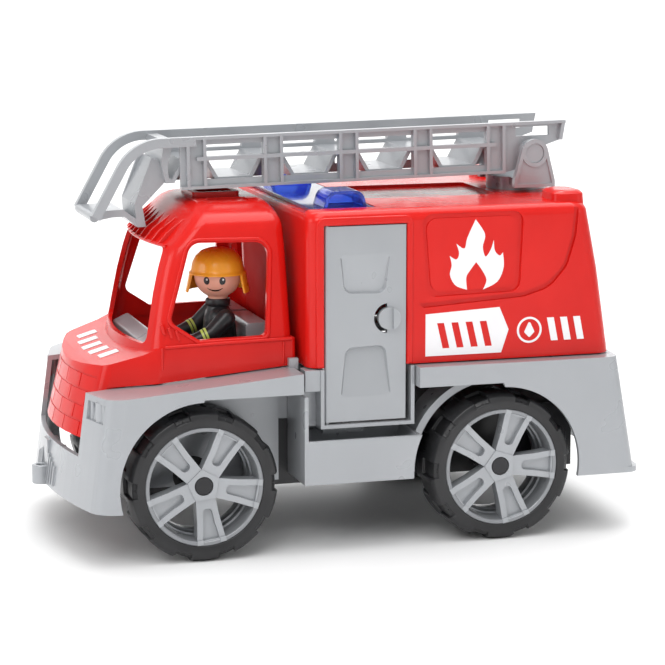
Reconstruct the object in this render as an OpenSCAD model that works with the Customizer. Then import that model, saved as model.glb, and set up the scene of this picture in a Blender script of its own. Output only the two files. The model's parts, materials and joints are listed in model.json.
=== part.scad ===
// Toy fire engine: a cab-over truck with a rear equipment box, two side doors,
// a turntable ladder on the roof, four chunky wheels and a seated figure.
// +X is the front, +Y the left side, +Z up. The shapes are drawn with X = 0 midway
// between the axles and moved so that the origin is under the middle of the toy.

/* [Wheels] */
// Distance between the two axles
wheelbase = 143.4; // [143:0.1:144]
// Outside radius of the tyre over its lugs
tyre_r = 35; // [34.8:0.1:35.2]
// Width of the tyre
tyre_w = 26; // [25:0.5:26.5]
// Outside radius of the rim
rim_r = 27.6; // [27:0.1:28]
// Radius of the steel axles
axle_r = 2; // [1.8:0.05:2.1]
// Lugs round each shoulder of the tyre
lug_count = 10; // [8:1:12]
// Split spokes in the rim
spoke_count = 5; // [5:1:6]

/* [Body] */
// Width over the fenders
body_w = 152; // [151.5:0.1:153]
// Width of the rear box
box_w = 136; // [135.6:0.1:136.4]
// Width of the cab at its waist
cab_w = 110; // [109.6:0.1:110.4]
// Thickness of the moulded shells
wall = 2.4; // [2.2:0.1:2.6]
// Radius of the wheel arches
arch_r = 39.5; // [39:0.1:40]

/* [Doors] */
// Width of the equipment doors
door_w = 39; // [38.6:0.1:39.2]
// Height of the lower edge of the doors
door_z0 = 60; // [59.8:0.1:60.2]
// Height of the upper edge of the doors
door_z1 = 151; // [150:0.5:151]
// Thickness of the doors
door_t = 2.8; // [2.6:0.1:3]

/* [Ladder] */
// Half the distance over the ladder's side rails
rail_y = 22.4; // [22:0.1:22.6]
// Distance between the pairs of posts
post_pitch = 37; // [36.8:0.1:37.2]
// Forward droop of the resting ladder in degrees
droop = 1; // [0.9:0.05:1.1]
// Radius of the turntable drum
drum_r = 14.6; // [14:0.1:14.8]

/* [Tow eye] */
// Radius of the upright hole in the tow eye
eye_bore_r = 2.2; // [2:0.1:2.3]
// Height of the tow eye
eye_h = 9; // [8:0.5:10]

/* [Hidden] */
$fn = 48;

// Overall reach of the toy to the front and the rear of the axles' middle
reach_front = 138;
reach_rear = 145;
shift_x = (reach_rear - reach_front) / 2;

front_x = wheelbase / 2;
rear_x = -wheelbase / 2;
half_w = body_w / 2;
box_y = box_w / 2;
cab_y = cab_w / 2;
nose_gap_y = cab_y - 7;
// Rear face of the cab and front face of the box
cab_x = 23;
box_x = 20.6;
wheel_face = half_w - 1;
wheel_back = wheel_face - tyre_w;

// Running clearance of a shaft in its hole and the gap between moving panels
run = 0.06;
gap = 0.4;

// Heights
sill_z = 25;
fender_z0 = 77;
fender_z1 = 85;
fender_edge = 9.5;
deck_z = 56;
deck_t = 2.4;
box_z0 = 85.6;
roof_z = 158;
roof_bump_z = 163;
cab_roof_z = 160;
eye_z = 24.5;
floor_z = deck_z + deck_t;
deck_y = 45.6;
step_y = 46;

// Equipment door: front edge, hinge axis and height of the hinge pins
door_x1 = 13;
door_x0 = door_x1 - door_w;
hinge_x = door_x1 - door_t / 2;
hinge_y = box_y - door_t / 2;
hinge_r = 0.9;
hinge_l = 2.2;

// Ladder pivot and turntable
pivot_x = -105;
pivot_z = 177;
stub_r = 4.64;
ear_t = 2.6;
drum_z = 150;
boss_z = 142.2;
neck_r = 7;
clip_r = 1.6;
post_x = [for (i = [0:4]) 18.5 + i * post_pitch];
post_gap = 8;
rail_top = 15;
rail_bottom = -9.4;
web_y = 18.2;
web_t = 1.8;

// Steering column
column_x = 79.6;
column_r = 1.7;

// Figure, seated on the left
fig_x = 51;
fig_y = 22;
head_r = 11.3;
head_z = 124.6;
shoulder_z = 105.2;
neck_z = head_z - 11.3;
pin_r = 1.74;
neck_pin_r = 2.2;

// Thickness of the printed marks
mark_t = 0.25;

grey = [0.70, 0.72, 0.74];
red = [0.86, 0.10, 0.09];
black = [0.10, 0.10, 0.11];
white = [0.96, 0.95, 0.96];

// ---- helpers ----

module placed() {
    translate([shift_x, 0, 0]) children();
}

module both_sides() {
    children();
    mirror([0, 1, 0]) children();
}

// An outline drawn in X and Z, given a thickness from y0 to y1
module side_plate(y0, y1) {
    translate([0, y1, 0]) rotate([90, 0, 0]) linear_extrude(y1 - y0) children();
}

// An outline drawn in Y and Z, given a thickness from x0 to x1
module front_plate(x0, x1) {
    translate([x0, 0, 0]) rotate([90, 0, 90]) linear_extrude(x1 - x0) children();
}

module block(lo, hi) {
    translate(lo) cube(hi - lo);
}

module thin_slice(z) {
    translate([0, 0, z]) linear_extrude(0.02) children();
}

// Rounds the corners that stick out
module soft(r) {
    offset(r = r, $fn = 24) offset(delta = -r) children();
}

module soft_rect(lo, hi, r) {
    soft(r) translate(lo) square(hi - lo);
}

// ---- plan outlines ----

// Front of the lower body: a shallow arc between rounded corners
module bumper_plan(nose, y) {
    soft(12) intersection() {
        translate([nose - 250, 0]) circle(250, $fn = 180);
        translate([-20, -y]) square([200, 2 * y]);
    }
}

// Rear of the lower body and of the box
module tail_plan(tail, front, y, r, arc = 480) {
    soft(r) intersection() {
        translate([tail + arc, 0]) circle(arc, $fn = arc / 2);
        translate([tail - 1, -y]) square([front - tail + 1, 2 * y]);
    }
}

// Waist of the cab: an arced nose and sides that taper towards it
module cab_plan(nose, y, inset = 0) {
    soft(8) offset(delta = -inset) intersection() {
        translate([nose - 130, 0]) circle(130, $fn = 120);
        polygon([[cab_x, -y], [nose - 33, -y], [nose + 5, 11 - y], [nose + 5, y - 11],
            [nose - 33, y], [cab_x, y]]);
    }
}

// Glazed upper part of the cab
module cabin_plan(x0, x1, y, inset = 0) {
    soft(6) offset(delta = -inset) intersection() {
        translate([x1 - 150, 0]) circle(150, $fn = 120);
        translate([x0, -y]) square([x1 - x0 + 1, 2 * y]);
    }
}

// ---- lower body ----

module axle_line(x) {
    translate([x, 0, tyre_r]) rotate([90, 0, 0]) children();
}

module chassis() {
    front_end = 103;
    rear_end = -118;
    boss_x = [-100, 92];
    placed() color(black) difference() {
        union() {
            block([-126, -deck_y, deck_z], [front_end, deck_y, floor_z]);
            both_sides() block([rear_end, deck_y - wall, sill_z + 2], [front_end, deck_y, deck_z]);
            for (x = [rear_end, -40, 0, 40, front_end - wall]) {
                block([x, -deck_y, 30], [x + wall, deck_y, deck_z]);
            }
            for (x = [front_x, rear_x]) {
                both_sides() block([x - 7, 30, 27.5], [x + 7, deck_y, deck_z]);
                both_sides() axle_line(x) translate([0, 0, 30]) cylinder(r = 6, h = wheel_back - 30.6);
            }
            for (x = boss_x) {
                both_sides() translate([x, 30, 30]) cylinder(r = 4.5, h = deck_z - 30);
            }
        }
        for (x = [front_x, rear_x]) {
            axle_line(x) cylinder(r = axle_r + run, h = 120, center = true);
        }
        for (x = boss_x) {
            both_sides() translate([x, 30, 20]) cylinder(r = 1.5, h = 34);
            both_sides() translate([x, 30, 20]) cylinder(r = 3.1, h = 14);
        }
    }
}

// Tub of the cab with its rear wall, and the piers between the cab and the doors
module cab_tub() {
    placed() color(grey) {
        both_sides() block([26, deck_y - wall, floor_z], [96, deck_y, 78]);
        block([26, -deck_y, floor_z], [28, deck_y, 85]);
        both_sides() block([13.8, deck_y - wall, floor_z], [26.4, deck_y, 85]);
    }
}

// Side outline of the front bumper and fenders
module bumper_side() {
    difference() {
        polygon([[25.3, fender_z1 - fender_edge], [25.3, fender_z1], [116, fender_z0],
            [140, fender_z0 - 2], [140, sill_z], [front_x + 20, sill_z],
            [front_x, fender_z1 - fender_edge]]);
        translate([front_x, tyre_r]) circle(arch_r, $fn = 96);
    }
}

module bumper_hull(inset) {
    hull() {
        thin_slice(sill_z - 1) bumper_plan(132.6 - inset, half_w - inset);
        thin_slice(fender_z1 + 1) bumper_plan(124.2 - inset, half_w - inset);
    }
}

module tow_eye() {
    eye_r = 4.4;
    x = reach_front - eye_r;
    placed() color(grey) difference() {
        union() {
            translate([x, 0, eye_z]) cylinder(r = eye_r, h = eye_h);
            block([126, -eye_r, eye_z], [x, eye_r, eye_z + eye_h]);
        }
        translate([x, 0, eye_z - 1]) cylinder(r = eye_bore_r, h = eye_h + 2);
    }
}

module front_bumper() {
    placed() color(grey) {
        difference() {
            union() {
                difference() {
                    intersection() {
                        bumper_hull(0);
                        side_plate(-half_w - 1, half_w + 1) bumper_side();
                    }
                    intersection() {
                        bumper_hull(wall);
                        side_plate(-half_w, half_w) bumper_inside();
                    }
                    // The arches are open on the inside too
                    both_sides() side_plate(0, half_w - wall) translate([front_x, tyre_r]) circle(arch_r);
                }
                bumper_trim();
            }
            // Room for the cab and the open slot under its nose
            block([0, -nose_gap_y, 47], [150, nose_gap_y, 100]);
            both_sides() headlight_notch();
            // Seat of the tow eye
            block([120, -5, eye_z - 2], [140, 5, eye_z + eye_h + 0.1]);
        }
        both_sides() headlight();
        both_sides() fender_liner();
        // Edge plates that close the fenders round the cab
        both_sides() block([25.3, nose_gap_y + 1, fender_z1 - fender_edge], [27.4, half_w - 1, fender_z1 - 1]);
        both_sides() block([23, cab_y + 0.6, fender_z1 - 1], [27.4, cab_y + 3.4, fender_z1 + 4.2]);
    }
}

// Inner wall of the wheel arch, behind the wheel
module fender_liner() {
    side_plate(46.2, wheel_back - 0.4) difference() {
        polygon([[30, 30], [97, 30], [97, 77.4], [30, 83.4]]);
        translate([front_x, tyre_r]) circle(9);
    }
}

module bumper_inside() {
    polygon([[27.4, 20], [27.4, fender_z1 - wall], [116, fender_z0 - wall],
        [140, fender_z0 - 2 - wall], [140, 20]]);
}

// Central column and upright ribs of the bumper
module bumper_trim() {
    block([125, -4.6, 33], [131.2, 4.6, 46]);
    intersection() {
        bumper_hull(-0.9);
        for (y = [-19, -15, -11, -7.6, 7.6, 11, 15, 19]) {
            block([120, y - 0.7, 27], [140, y + 0.7, 43 - abs(y) * 0.35]);
        }
    }
}

module headlight_notch() {
    difference() {
        block([112, 52, 65.5], [135, 68.6, fender_z0 - 3]);
        bumper_hull(1.6);
    }
}

module headlight() {
    translate([115.4, 61, 65.4]) cylinder(r = 3.4, h = 9);
    for (p = [[118.6, 54.6], [115.6, 66.2]]) {
        translate([p.x, p.y, 65.4]) cylinder(r = 1.2, h = 9);
    }
}

// Side outline of the rear skirt
module skirt_side() {
    difference() {
        polygon([[-30.5, fender_z1 - fender_edge], [-30.5, fender_z1], [-150, fender_z1],
            [-150, 28.5], [rear_x - 20, 28.5], [rear_x, fender_z1 - fender_edge]]);
        translate([rear_x, tyre_r]) circle(arch_r - 1, $fn = 96);
    }
}

module skirt_hull(inset) {
    hull() {
        thin_slice(27) tail_plan(-143.4 + inset, 40, half_w - inset, 6, 800);
        thin_slice(fender_z1 + 1) tail_plan(-133 + inset, 40, half_w - inset, 6, 800);
    }
}

module rear_skirt() {
    placed() color(grey) difference() {
        union() {
            intersection() {
                skirt_hull(0);
                side_plate(-half_w - 1, half_w + 1) skirt_side();
            }
            // Lip along the lower rear edge
            intersection() {
                translate([0, 0, 28.5]) linear_extrude(2.6) tail_plan(-145, 40, half_w, 7, 800);
                block([-150, -half_w, 28], [-128, half_w, 32]);
            }
        }
        intersection() {
            skirt_hull(wall);
            block([-160, -half_w, 20], [-32.5, half_w, fender_z1 - wall]);
        }
        both_sides() side_plate(0, half_w - wall) translate([rear_x, tyre_r]) circle(arch_r - 1);
        // Deck of the chassis and the open middle
        block([-126.6, -deck_y - 0.4, 20], [0, deck_y + 0.4, 90]);
    }
}

// Open-topped running board in front of the rear wheel
module side_step() {
    z0 = 32.6;
    z1 = 53.2;
    difference() {
        side_plate(step_y, half_w) step_side(z0, z1);
        side_plate(step_y + 2, half_w - 2) offset(delta = -2) step_side(z0, z1 + 4);
    }
    // Upright at the front of the tray and ribs on its face
    block([23, step_y, z0], [25, half_w, 74]);
    for (x = [-9.5, -19.5]) {
        block([x - 0.5, half_w - 3, z0 + 2], [x + 0.5, half_w - 1, z0 + 10]);
    }
}

module step_side(z0, z1) {
    difference() {
        translate([-42, z0]) square([25 + 42, z1 - z0]);
        translate([rear_x, tyre_r]) circle(arch_r + 4.2, $fn = 96);
    }
}

// Frame round the foot of the door, the wall behind it and the liner of the rear wheel
module door_frame() {
    foot_z = 57.2;
    edge = 1.8;
    pier_x0 = 14.4;
    pier_x1 = 22.6;
    x0 = door_x0 - 2.2 - edge;
    difference() {
        union() {
            block([-36.4, step_y, 53.2], [pier_x1, step_y + 2.4, foot_z + edge]);
            block([-8, step_y + 2, 53.4], [12, box_y - 7, foot_z + edge]);
            side_plate(box_y - 8, box_y + 1.4) difference() {
                translate([x0, foot_z]) square([door_w + 2.8 + 2 * edge, 27.8]);
                translate([x0 + edge, foot_z + edge]) square([door_w + 2.8, 40]);
            }
            block([pier_x0, box_y - 8, 75], [pier_x1, box_y + 0.6, 85]);
            block([pier_x0, step_y, foot_z], [pier_x1 - 1, box_y - 7, 75.4]);
            block([x0, step_y, foot_z], [pier_x0, box_y - 7.6, foot_z + edge]);
            // Curved liner over the front of the rear wheel
            side_plate(step_y, half_w - 12) intersection() {
                difference() {
                    translate([rear_x, tyre_r]) circle(arch_r + 3.6, $fn = 96);
                    translate([rear_x, tyre_r]) circle(arch_r, $fn = 96);
                }
                polygon([[-60, 74.8], [-36, 74.8], [-30, 60], [-26, 40], [-26, 33], [-60, 33]]);
            }
        }
        translate([hinge_x, hinge_y, 50]) cylinder(r = hinge_r + run, h = 20);
    }
}

module side_step_left() {
    placed() color(grey) side_step();
}

module side_step_right() {
    placed() color(grey) mirror([0, 1, 0]) side_step();
}

module door_frame_left() {
    placed() color(grey) door_frame();
}

module door_frame_right() {
    placed() color(grey) mirror([0, 1, 0]) door_frame();
}

// ---- cab ----

module cab_lower(inset) {
    hull() {
        thin_slice(54) cab_plan(128, cab_y, inset);
        thin_slice(87) cab_plan(120, cab_y, inset);
        thin_slice(98.5 - inset) cab_plan(117, cab_y - 0.8, inset);
    }
}

// Height of the flat top of the bonnet, which falls towards the nose
function hood_z(x) = 94.4 - (x - 90) * 0.29;

// Bonnet line, waist and the sloping foot that rests on the fenders
module cab_lower_side() {
    polygon([[cab_x, 85.7], [cab_x, 98], [86, 96.6], [95, hood_z(95)], [115.4, hood_z(115.4)], [121, 84.6],
        [131, 60], [131, 54], [104, 54], [98, 79.2]]);
}

module cabin(inset) {
    hull() {
        thin_slice(95) cabin_plan(24 + inset, 98 - inset, cab_y - 1.4, inset / 2);
        thin_slice(120) cabin_plan(24.8 + inset, 93 - inset, cab_y - 4.4, inset / 2);
        thin_slice(141) cabin_plan(25.6 + inset, 86 - inset, cab_y - 7.2, inset / 2);
        thin_slice(155 - inset) cabin_plan(26.4 + inset, 72.6 - inset, cab_y - 10.6, inset / 2);
        thin_slice(cab_roof_z - inset) cabin_plan(29.6 + inset, 64 - inset, cab_y - 16, inset / 2);
    }
}

module side_window() {
    soft(4) polygon([[34.4, 142.4], [70, 142.8], [81.8, 107.8], [68.7, 99.4], [37, 99.8]]);
}

module windscreen() {
    soft(3) polygon([[-43, 96.4], [43, 96.4], [38.4, 140.6], [-38.4, 140.6]]);
}

// Wedge ribs on the slope above the windscreen, each on the arc of the front
module visor() {
    arc_r = 150;
    for (y = [-27:9:27]) {
        translate([sqrt(arc_r * arc_r - y * y) - arc_r, 0, 0]) side_plate(y - 0.6, y + 0.6)
            polygon([[74, 153], [82.6, 147], [87, 141.4], [84, 141.4], [72, 152.4]]);
    }
}

module cab_shell() {
    placed() color(red) {
        difference() {
            union() {
                difference() {
                    intersection() {
                        cab_lower(0);
                        side_plate(-60, 60) cab_lower_side();
                    }
                    // The deep nose is narrower than the waist
                    both_sides() block([20, 47.6, 50], [140, 70, 79.2]);
                    both_sides() side_plate(47.6, 70) polygon([[20, 70], [20, 86.1], [98, 79.2], [124, 77.1], [124, 70]]);
                }
                cabin(0);
                visor();
                roof_hatch();
            }
            intersection() {
                cab_lower(wall);
                side_plate(-60, 60) polygon([[25.4, 50], [25.4, 100], [91, 100], [92, hood_z(92) - wall],
                    [113, hood_z(113) - wall], [117.6, 82], [127, 60], [127, 50]]);
            }
            cabin(wall);
            side_plate(-70, 70) side_window();
            front_plate(70, 110) windscreen();
            both_sides() cab_grooves();
            nose_relief();
            // Rear light opening
            front_plate(20, 31) soft_rect([-36, 108], [-24, 138], 2);
        }
    }
}

module roof_hatch() {
    translate([0, 0, cab_roof_z - 0.4]) linear_extrude(2.6) difference() {
        soft_rect([40, -13], [64, 13], 2);
        soft_rect([43, -10], [61, 10], 1);
    }
}

// Shut lines of the cab door
module cab_grooves() {
    for (x = [31, 84]) {
        block([x - 0.7, cab_y - 0.8, 85.2], [x + 0.7, cab_y + 1, 95]);
    }
}

// Brick-like relief of the grille on the nose
module nose_relief() {
    difference() {
        union() {
            for (z = [60, 67, 74, 81]) {
                block([110, -38, z], [130, 38, z + 0.9]);
            }
            for (i = [0:3], y = [-32 + (i % 2) * 8:16:32]) {
                block([110, y - 0.4, 53 + i * 7], [130, y + 0.4, 60.5 + i * 7]);
            }
        }
        cab_lower(0.7);
    }
}

module cab_seat() {
    placed() color(grey) difference() {
        side_plate(-42.4, 42.4) soft(2) polygon([[28.6, floor_z], [58, floor_z], [60, 76],
            [42, 78.2], [42.7, 103], [31, 103], [28.6, 92]]);
        // Split between the two places, open corners of the backs and hollow underside
        block([44, -3, 60], [62, 3, 110]);
        block([28, -2, 80], [50, 2, 110]);
        both_sides() block([28, 38, 84], [50, 50, 110]);
        block([31, -50, floor_z - 1], [55, 50, 72.4]);
    }
}

module dashboard() {
    placed() color(grey) difference() {
        side_plate(-41, 41) soft(1.6) polygon([[84, floor_z], [87, floor_z], [90.4, 86], [89.6, 94],
            [82, 97.4], [76, 92], [80, 88], [84, 86]]);
        translate([column_x, fig_y, 93]) rotate([0, -50, 0]) cylinder(r = column_r, h = 20, center = true);
    }
}

// Wheel and column, pushed into the dashboard
module steering_wheel() {
    placed() color(black) translate([column_x, fig_y, 93]) rotate([0, -50, 0]) {
        translate([0, 0, -1]) cylinder(r = column_r, h = 8);
        translate([0, 0, 6]) rotate_extrude() translate([8, 0]) circle(1.3, $fn = 24);
        for (a = [0, 120, 240]) {
            rotate([0, 0, a]) translate([0, -1, 5.2]) cube([7.6, 2, 1.6]);
        }
    }
}

// ---- rear box ----

module box_hull(inset) {
    hull() {
        thin_slice(box_z0 - inset) tail_plan(-133.2 + inset, box_x - inset, box_y - inset, 8);
        thin_slice(126) tail_plan(-127 + inset, box_x - inset, box_y - inset, 8);
        thin_slice(roof_z - 5.4 - inset) tail_plan(-121.6 + inset, box_x - inset, box_y - inset, 8);
        thin_slice(roof_z - inset) tail_plan(-117.6 + inset, box_x - 3.6 - inset, box_y - 4.6 - inset, 6);
    }
}

// Raised rear end of the roof, cut back round the turntable
module roof_bump() {
    difference() {
        hull() {
            thin_slice(roof_z - 4) tail_plan(-120.6, -98, box_y - 1.6, 8);
            thin_slice(roof_bump_z) tail_plan(-116.6, -101.6, box_y - 7, 6);
        }
        translate([pivot_x, 0, roof_z - 10]) cylinder(r = 29, h = 30);
        block([-130, -17, roof_z], [-90, 17, 170]);
    }
}

module upper_panel() {
    soft(3) polygon([[-31.5, 112.4], [-84, 115.6], [-98, 120], [-106, 129], [-109.6, 142], [-112, 175], [-31.5, 175]]);
}

module flame_panel() {
    soft(5) polygon([[-37, 117.4], [-81, 118], [-83, 175], [-35, 175]]);
}

// A groove that follows an outline
module groove(w) {
    difference() {
        offset(delta = w / 2) children();
        offset(delta = -w / 2) children();
    }
}

module box_relief() {
    side_plate(box_y - 0.7, box_y + 2) groove(1.4) upper_panel();
    side_plate(box_y - 0.6, box_y + 2) flame_panel();
}

module door_hole() {
    translate([door_x0 - gap, 50]) square([door_w + 2 * gap, door_z1 - 50 + gap]);
}

// Raised moulding round the door
module door_moulding() {
    side_plate(box_y - wall, box_y + 0.9) difference() {
        soft_rect([door_x0 - 3.6, 70], [door_x1 + 4, door_z1 + 4.4], 3);
        translate([-100, 40]) square([200, box_z0 - 40]);
    }
}

module box_shell() {
    placed() color(red) difference() {
        union() {
            difference() {
                union() {
                    box_hull(0);
                    roof_bump();
                }
                box_hull(wall);
                block([-160, -90, 70], [40, 90, box_z0]);
                // Tray in the front of the roof for the light bar
                block([-15, -57, roof_z - 1.8], [30, 57, 170]);
                block([-86, -25, roof_z - 1.6], [-20, 25, 170]);
            }
            both_sides() door_moulding();
            both_sides() block([hinge_x - 4, box_y - 6, door_z1 + 0.4], [hinge_x + 5, box_y - 1, door_z1 + 3.6]);
            // Floor of the light bar tray and bearing of the turntable
            block([-16, -60, roof_z - 3.6], [box_x - 2, 60, roof_z - 1.8]);
            block([-87, -26, roof_z - 3.4], [-19, 26, roof_z - 1.6]);
            translate([pivot_x, 0, boss_z]) cylinder(r = drum_r + 1.8, h = roof_z - 1 - boss_z);
        }
        both_sides() side_plate(box_y - 9, box_y + 3) door_hole();
        both_sides() translate([hinge_x, hinge_y, 140]) cylinder(r = hinge_r + run, h = 14.4);
        both_sides() box_relief();
        translate([pivot_x, 0, drum_z]) cylinder(r = drum_r + 0.3, h = 40);
        translate([pivot_x, 0, 130]) cylinder(r = neck_r + run, h = 40);
    }
}

// Blue bar across the roof with an arched dome near each end
module light_bar() {
    placed() color([0.12, 0.25, 0.75, 0.6]) {
        block([-14.6, -56.6, roof_z - 1.8], [box_x - 4.4, 56.6, roof_z]);
        both_sides() side_plate(38, 54) difference() {
            dome_outline(0);
            dome_outline(1.6);
        }
        both_sides() side_plate(38, 39.6) dome_outline(0);
    }
}

module dome_outline(inset) {
    intersection() {
        soft(5) polygon([[-11 + inset, roof_z - 12], [9.6 - inset, roof_z - 12], [7.6 - inset, roof_z + 7.6 - inset],
            [-9.4 + inset, roof_z + 7.6 - inset]]);
        translate([-20, roof_z]) square([40, 20]);
    }
}

// ---- turntable and ladder ----

module turntable() {
    ear_y0 = rail_y + 0.4;
    placed() translate([pivot_x, 0, 0]) color(grey) {
        difference() {
            union() {
                translate([0, 0, drum_z + 0.3]) cylinder(r = drum_r, h = 164 - drum_z);
                translate([0, 0, boss_z - 0.2]) cylinder(r = neck_r, h = drum_z + 1 - boss_z);
                both_sides() side_plate(ear_y0, ear_y0 + ear_t) ear();
                both_sides() side_plate(ear_y0 + ear_t, ear_y0 + ear_t + 0.9) groove(1.6) offset(delta = -0.8) ear();
                block([-8, -ear_y0 - 1, 160.6], [8, ear_y0 + 1, 164.3]);
            }
            translate([0, 0, pivot_z]) rotate([90, 0, 0]) cylinder(r = stub_r + run, h = 80, center = true);
            translate([0, 0, boss_z - 10]) cylinder(r = clip_r, h = 16);
        }
        both_sides() translate([0, ear_y0 + ear_t, pivot_z]) rotate([-90, 0, 0]) difference() {
            cylinder(r = 6.6, h = 0.9);
            translate([0, 0, -1]) cylinder(r = stub_r + run, h = 4);
        }
    }
}

module ear() {
    hull() {
        translate([0, pivot_z]) circle(6.8, $fn = 32);
        translate([-10.4, 160.6]) square([20.8, 3]);
    }
}

// Screwed washer that keeps the turntable in the roof
module turntable_clip() {
    placed() translate([pivot_x, 0, boss_z - 2.6]) color(grey) {
        cylinder(r = neck_r + 3.4, h = 2.2);
        translate([0, 0, -2]) cylinder(r = 3, h = 2.1);
        cylinder(r = clip_r, h = 6.4);
    }
}

module ladder_place() {
    placed() translate([pivot_x, 0, pivot_z]) rotate([0, droop, 0]) color(grey) children();
}

// Band of a rail that bends down to the nose, drawn along the ladder
module nose_band() {
    depth = 4.4;
    nose_r = 24;
    bend_x = 183;
    straight = 26;
    end_angle = 30;
    function on_arc(r, a) = [bend_x + r * cos(a), rail_top - nose_r + r * sin(a)];
    function past_arc(r) = on_arc(r, end_angle) + straight * [sin(end_angle), -cos(end_angle)];
    inner_r = nose_r - depth;
    polygon(concat([[post_x[4], rail_top - depth], [post_x[4], rail_top]],
        [for (a = [90:-5:end_angle]) on_arc(nose_r, a)], [past_arc(nose_r), past_arc(inner_r)],
        [for (a = [end_angle:5:90]) on_arc(inner_r, a)]));
}

module rail_web() {
    difference() {
        polygon([[-17.4, rail_top], [-15.6, 5.6], [-7, 3], [-6, -6.4], [6, -7.6], [14, rail_bottom],
            [174, rail_bottom], [174, rail_top]]);
        for (i = [0:3]) {
            x0 = post_x[i] + post_gap / 2 + 0.9;
            x1 = post_x[i + 1] - post_gap / 2 - 0.9;
            translate([x0, 5.6]) square([x1 - x0, 5.4]);
            translate([x0, -5.2]) square([x1 - x0, 9]);
        }
        translate([-9.4, 8]) square([17, 4.4]);
    }
}

module rail_ribs() {
    for (x = post_x, d = [-0.5, 0.5]) {
        translate([x + d * post_gap - 0.75, rail_bottom]) square([1.5, rail_top - rail_bottom]);
    }
    translate([-17.4, rail_top - 1.4]) square([191.4, 1.4]);
    translate([15, rail_bottom]) square([159, 1.4]);
    translate([post_x[0], 3.8]) square([post_x[4] - post_x[0], 1.8]);
    polygon([[-17.4, rail_top], [-15.6, rail_top], [-13.8, 5.6], [-15.6, 5.6]]);
}

// One side of the ladder: a pierced web with ribs, and the bent nose band
module ladder_rail() {
    side_plate(web_y, web_y + web_t) rail_web();
    side_plate(web_y, rail_y) rail_ribs();
    side_plate(web_y, rail_y) nose_band();
    translate([0, web_y, 0]) rotate([-90, 0, 0]) cylinder(r = 6.4, h = rail_y - web_y);
    translate([0, web_y, 0]) rotate([-90, 0, 0]) cylinder(r = stub_r, h = rail_y + 3.2 - web_y);
}

module ladder_rail_left() {
    ladder_place() ladder_rail();
}

module ladder_rail_right() {
    ladder_place() mirror([0, 1, 0]) ladder_rail();
}

// Floor of the ladder: humped rungs behind the posts and a steep ramp in front
function rung(c) = [[c - 11, -4.6], [c - 6, 4.4], [c + 6, 4.4], [c + 11, -4.6]];

module deck_line() {
    polygon(concat([[8, -4.6]], [for (c = post_x) each rung(c)], [[180.6, -4.6], [180.6, -6.4]],
        [for (i = [4:-1:0]) each [[post_x[i] + 10, -6.4], [post_x[i] + 5, 2.6], [post_x[i] - 5, 2.6],
            [post_x[i] - 10, -6.4]]], [[8, -6.4]]));
}

module ladder_deck() {
    ladder_place() {
        side_plate(-web_y, web_y) deck_line();
        side_plate(-web_y, web_y) polygon([[176, 13.6], [181, 13.6], [182.6, 2.4], [180.6, -6.4],
            [178.8, -6.4], [179.6, 2]]);
        side_plate(-15, 15) polygon([[181.4, 3.4], [184.6, 4.6], [195, -15.4], [191.4, -17], [180.6, -4]]);
        both_sides() side_plate(13, 15) polygon([[181.4, 3.4], [186.4, 5.4], [195, -15.4], [191.4, -17],
            [180.6, -6.4]]);
    }
}

// Tip bar between the rails and the strap that runs back under the ramp
module ladder_nose() {
    tip = [214.9, -20.6];
    bar_r = 2.2;
    ladder_place() {
        translate([tip.x, 0, tip.y]) rotate([90, 0, 0]) cylinder(r = bar_r, h = 2 * web_y, center = true);
        side_plate(-15, 15) polygon([[191.4, -17], [195, -15.4], [194.6, -22.6], [200.6, -18], [206, -18],
            [tip.x, tip.y + bar_r], [tip.x, tip.y - bar_r], [206, -21.4], [200, -21.4], [194, -26.6], [190, -26.6]]);
    }
}

// ---- doors ----

module door_outline() {
    translate([door_x0, door_z0]) square([door_w, door_z1 - door_z0]);
}

// Pressed panels of the door: one narrowing down, one narrowing up
module door_panels() {
    cx = (door_x0 + door_x1) / 2;
    soft(2.4) polygon([[cx - 12, 137], [cx + 12.4, 137], [cx + 10.4, 120.4], [cx - 9.6, 119.6]]);
    soft(2.4) polygon([[cx - 12.4, 72], [cx + 11.6, 72], [cx + 9.4, 94], [cx - 9.6, 95]]);
}

module equipment_door() {
    pull_x = door_x0 + 8.4;
    pull_z = 107.6;
    difference() {
        union() {
            intersection() {
                side_plate(box_y - door_t, box_y) door_outline();
                union() {
                    block([door_x0, 0, 0], [hinge_x, 100, 200]);
                    translate([hinge_x, hinge_y, 0]) cylinder(r = door_t / 2, h = 200);
                }
            }
            translate([hinge_x, hinge_y, door_z0 - hinge_l]) cylinder(r = hinge_r, h = door_z1 - door_z0 + 2 * hinge_l);
            // Stop rib behind the free edge
            block([door_x0 + 3, box_y - door_t - 2, 90], [door_x0 + 5, box_y - door_t, 130]);
        }
        side_plate(box_y - 0.7, box_y + 1) door_panels();
        // Crescent for the fingertip in front of the pull
        side_plate(box_y - 10, box_y + 1) difference() {
            translate([pull_x, pull_z]) circle(7);
            translate([pull_x, pull_z]) circle(4.8);
            translate([pull_x - 20, pull_z - 20]) square([20.6, 40]);
        }
    }
    translate([pull_x, box_y - 0.2, pull_z]) rotate([-90, 0, 0]) intersection() {
        cylinder(r1 = 5.4, r2 = 4.6, h = 3.4);
        translate([-5, -10, -1]) cube([10, 20, 10]);
    }
}

module left_door() {
    placed() color(grey) equipment_door();
}

module right_door() {
    placed() color(grey) mirror([0, 1, 0]) equipment_door();
}

// ---- wheels ----

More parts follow.
